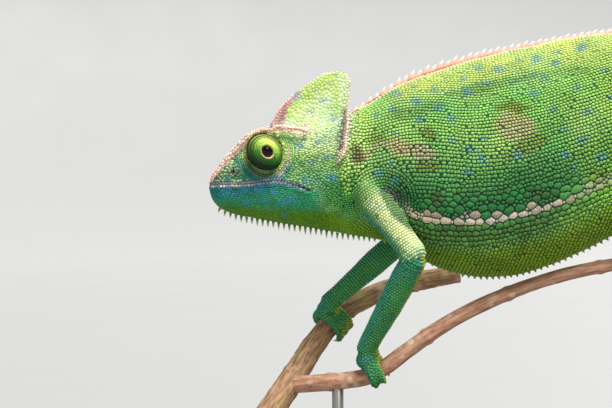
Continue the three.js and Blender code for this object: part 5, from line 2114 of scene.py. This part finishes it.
class CHAMELEON_OT_perch(ChameleonStep, bpy.types.Operator):
    """Build the cut branch and the twig that forks from it"""

    bl_idname = "chameleon.perch"
    bl_label = "Perch"

    def execute(self, context):
        branch, twig = Tube(curve(BRANCH, 300), BRANCH_RADII), Tube(curve(TWIG, 500), TWIG_RADII)
        branch.ends = twig.ends = (0.04, 0.04)
        old = bark_finish("branch_bark", tint(186, 144, 106), tint(116, 86, 62), 0.35)
        young = bark_finish("twig_bark", tint(196, 150, 122), tint(146, 104, 80))
        old_knots, young_knots = (0.2, 0.55, 0.83), (0.1, 0.33, 0.52, 0.72, 0.9)
        add_piece("branch", bark_mesh("branch", branch, 240, bark_relief(5, 0.2, old_knots)), old, "bark",
                  "perch_branch")
        add_piece("twig", bark_mesh("twig", twig, 420, bark_relief(8, 0.1, young_knots)), young, "bark",
                  "perch_twig")
        return {"FINISHED"}


class CHAMELEON_OT_stand(ChameleonStep, bpy.types.Operator):
    """Build the flat wooden base and the two steel rods"""

    bl_idname = "chameleon.stand"
    bl_label = "Stand"

    def execute(self, context):
        stand = context.scene.chameleon.stand
        base = add_piece("base", base_mesh(stand.corner, stand.edge), wood_finish(), "base", "stand_base")
        base.data.shade_flat()
        steel = steel_finish()
        for side in ("front", "rear"):
            add_piece(f"rod_{side}", rod_mesh(f"stand_rod_{side}"), steel, "rod", f"stand_rod_{side}")
        return {"FINISHED"}


# How wide each light is, as an angle, and the direction that it comes from.
LIGHTS = {"key": (0.47, (0.44, -0.6, 1.5)), "fill": (0.8, (-0.4, -0.9, 0.1)),
          "rim": (0.46, (0.35, 0.5, 0.45))}
SENSOR_WIDTH = 36


class CHAMELEON_OT_stage(ChameleonStep, bpy.types.Operator):
    """Set up the pale floor, the soft lights and the camera"""

    bl_idname = "chameleon.stage"
    bl_label = "Stage"

    def execute(self, context):
        stage = context.scene.chameleon.stage
        floor = bpy.data.objects.new("floor", dish_mesh(flat=2.4, bend=0.9, height=1.4))
        floor.data.materials.append(stage_finish())
        floor.data.shade_smooth()
        context.scene.collection.objects.link(floor)
        floor.visible_shadow = False
        floor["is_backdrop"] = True
        for name, (angle, direction) in LIGHTS.items():
            self.soft_light(name, getattr(stage, name), angle, direction)
        world = bpy.data.worlds.new("studio")
        world.use_nodes = True
        sky = world.node_tree.nodes["Background"].inputs
        sky["Color"].default_value = (0.95, 0.97, 1, 1)
        sky["Strength"].default_value = stage.ambient
        context.scene.world = world
        context.scene.view_settings.view_transform = "Standard"
        self.camera(context, stage)
        return {"FINISHED"}

    def soft_light(self, name, strength, angle, direction):
        """An even light from a wide patch of the sky in the given direction."""
        light = bpy.data.lights.new(name, "SUN")
        light.energy, light.angle = strength, angle
        lamp = bpy.data.objects.new(name, light)
        lamp.location = direction
        lamp.rotation_euler = Vector(direction).to_track_quat("Z", "Y").to_euler()
        bpy.context.scene.collection.objects.link(lamp)

    def camera(self, context, stage):
        data = bpy.data.cameras.new("camera")
        data.lens, data.sensor_width = stage.lens, SENSOR_WIDTH
        data.clip_start, data.clip_end = 0.01, 20
        eye = bpy.data.objects.new("camera", data)
        distance = stage.view_width * stage.lens / SENSOR_WIDTH
        eye.location = Vector(in_row((VIEW_MIDDLE[0], 0, VIEW_MIDDLE[1]))) - Vector((0, distance, 0))
        eye.rotation_euler = (math.pi / 2, 0, 0)
        context.scene.collection.objects.link(eye)
        context.scene.camera = eye


OPERATORS = (CHAMELEON_OT_stage, CHAMELEON_OT_hide, CHAMELEON_OT_eyes, CHAMELEON_OT_crests,
             CHAMELEON_OT_claws,
             CHAMELEON_OT_perch, CHAMELEON_OT_stand)


class CHAMELEON_PT_panel(bpy.types.Panel):
    """Lists the building steps"""

    bl_label = "Chameleon"
    bl_space_type = "VIEW_3D"
    bl_region_type = "UI"
    bl_category = "Chameleon"

    def draw(self, context):
        settings = context.scene.chameleon
        for step_class in OPERATORS:
            self.layout.operator(step_class.bl_idname)
        for group in (settings.hide, settings.coat, settings.crest, settings.stand, settings.stage):
            box = self.layout.box()
            for name in group.__annotations__:
                box.prop(group, name)


CLASSES = (ChameleonHide, ChameleonCoat, ChameleonCrest, ChameleonStand, ChameleonStage, ChameleonSettings,
           *OPERATORS, CHAMELEON_PT_panel)


def register():
    for added in CLASSES:
        bpy.utils.register_class(added)
    bpy.types.Scene.chameleon = PointerProperty(type=ChameleonSettings)


def unregister():
    del bpy.types.Scene.chameleon
    for added in reversed(CLASSES):
        bpy.utils.unregister_class(added)


def main():
    register()
    for step_class in OPERATORS:
        group, name = step_class.bl_idname.split(".")
        getattr(getattr(bpy.ops, group), name)()
    bounds = {"cad": CAD_BOUNDS, "visual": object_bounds()}
    {name: [list(corner) for corner in box] for name, box in bounds.items()}


if __name__ == "__main__":
    main()
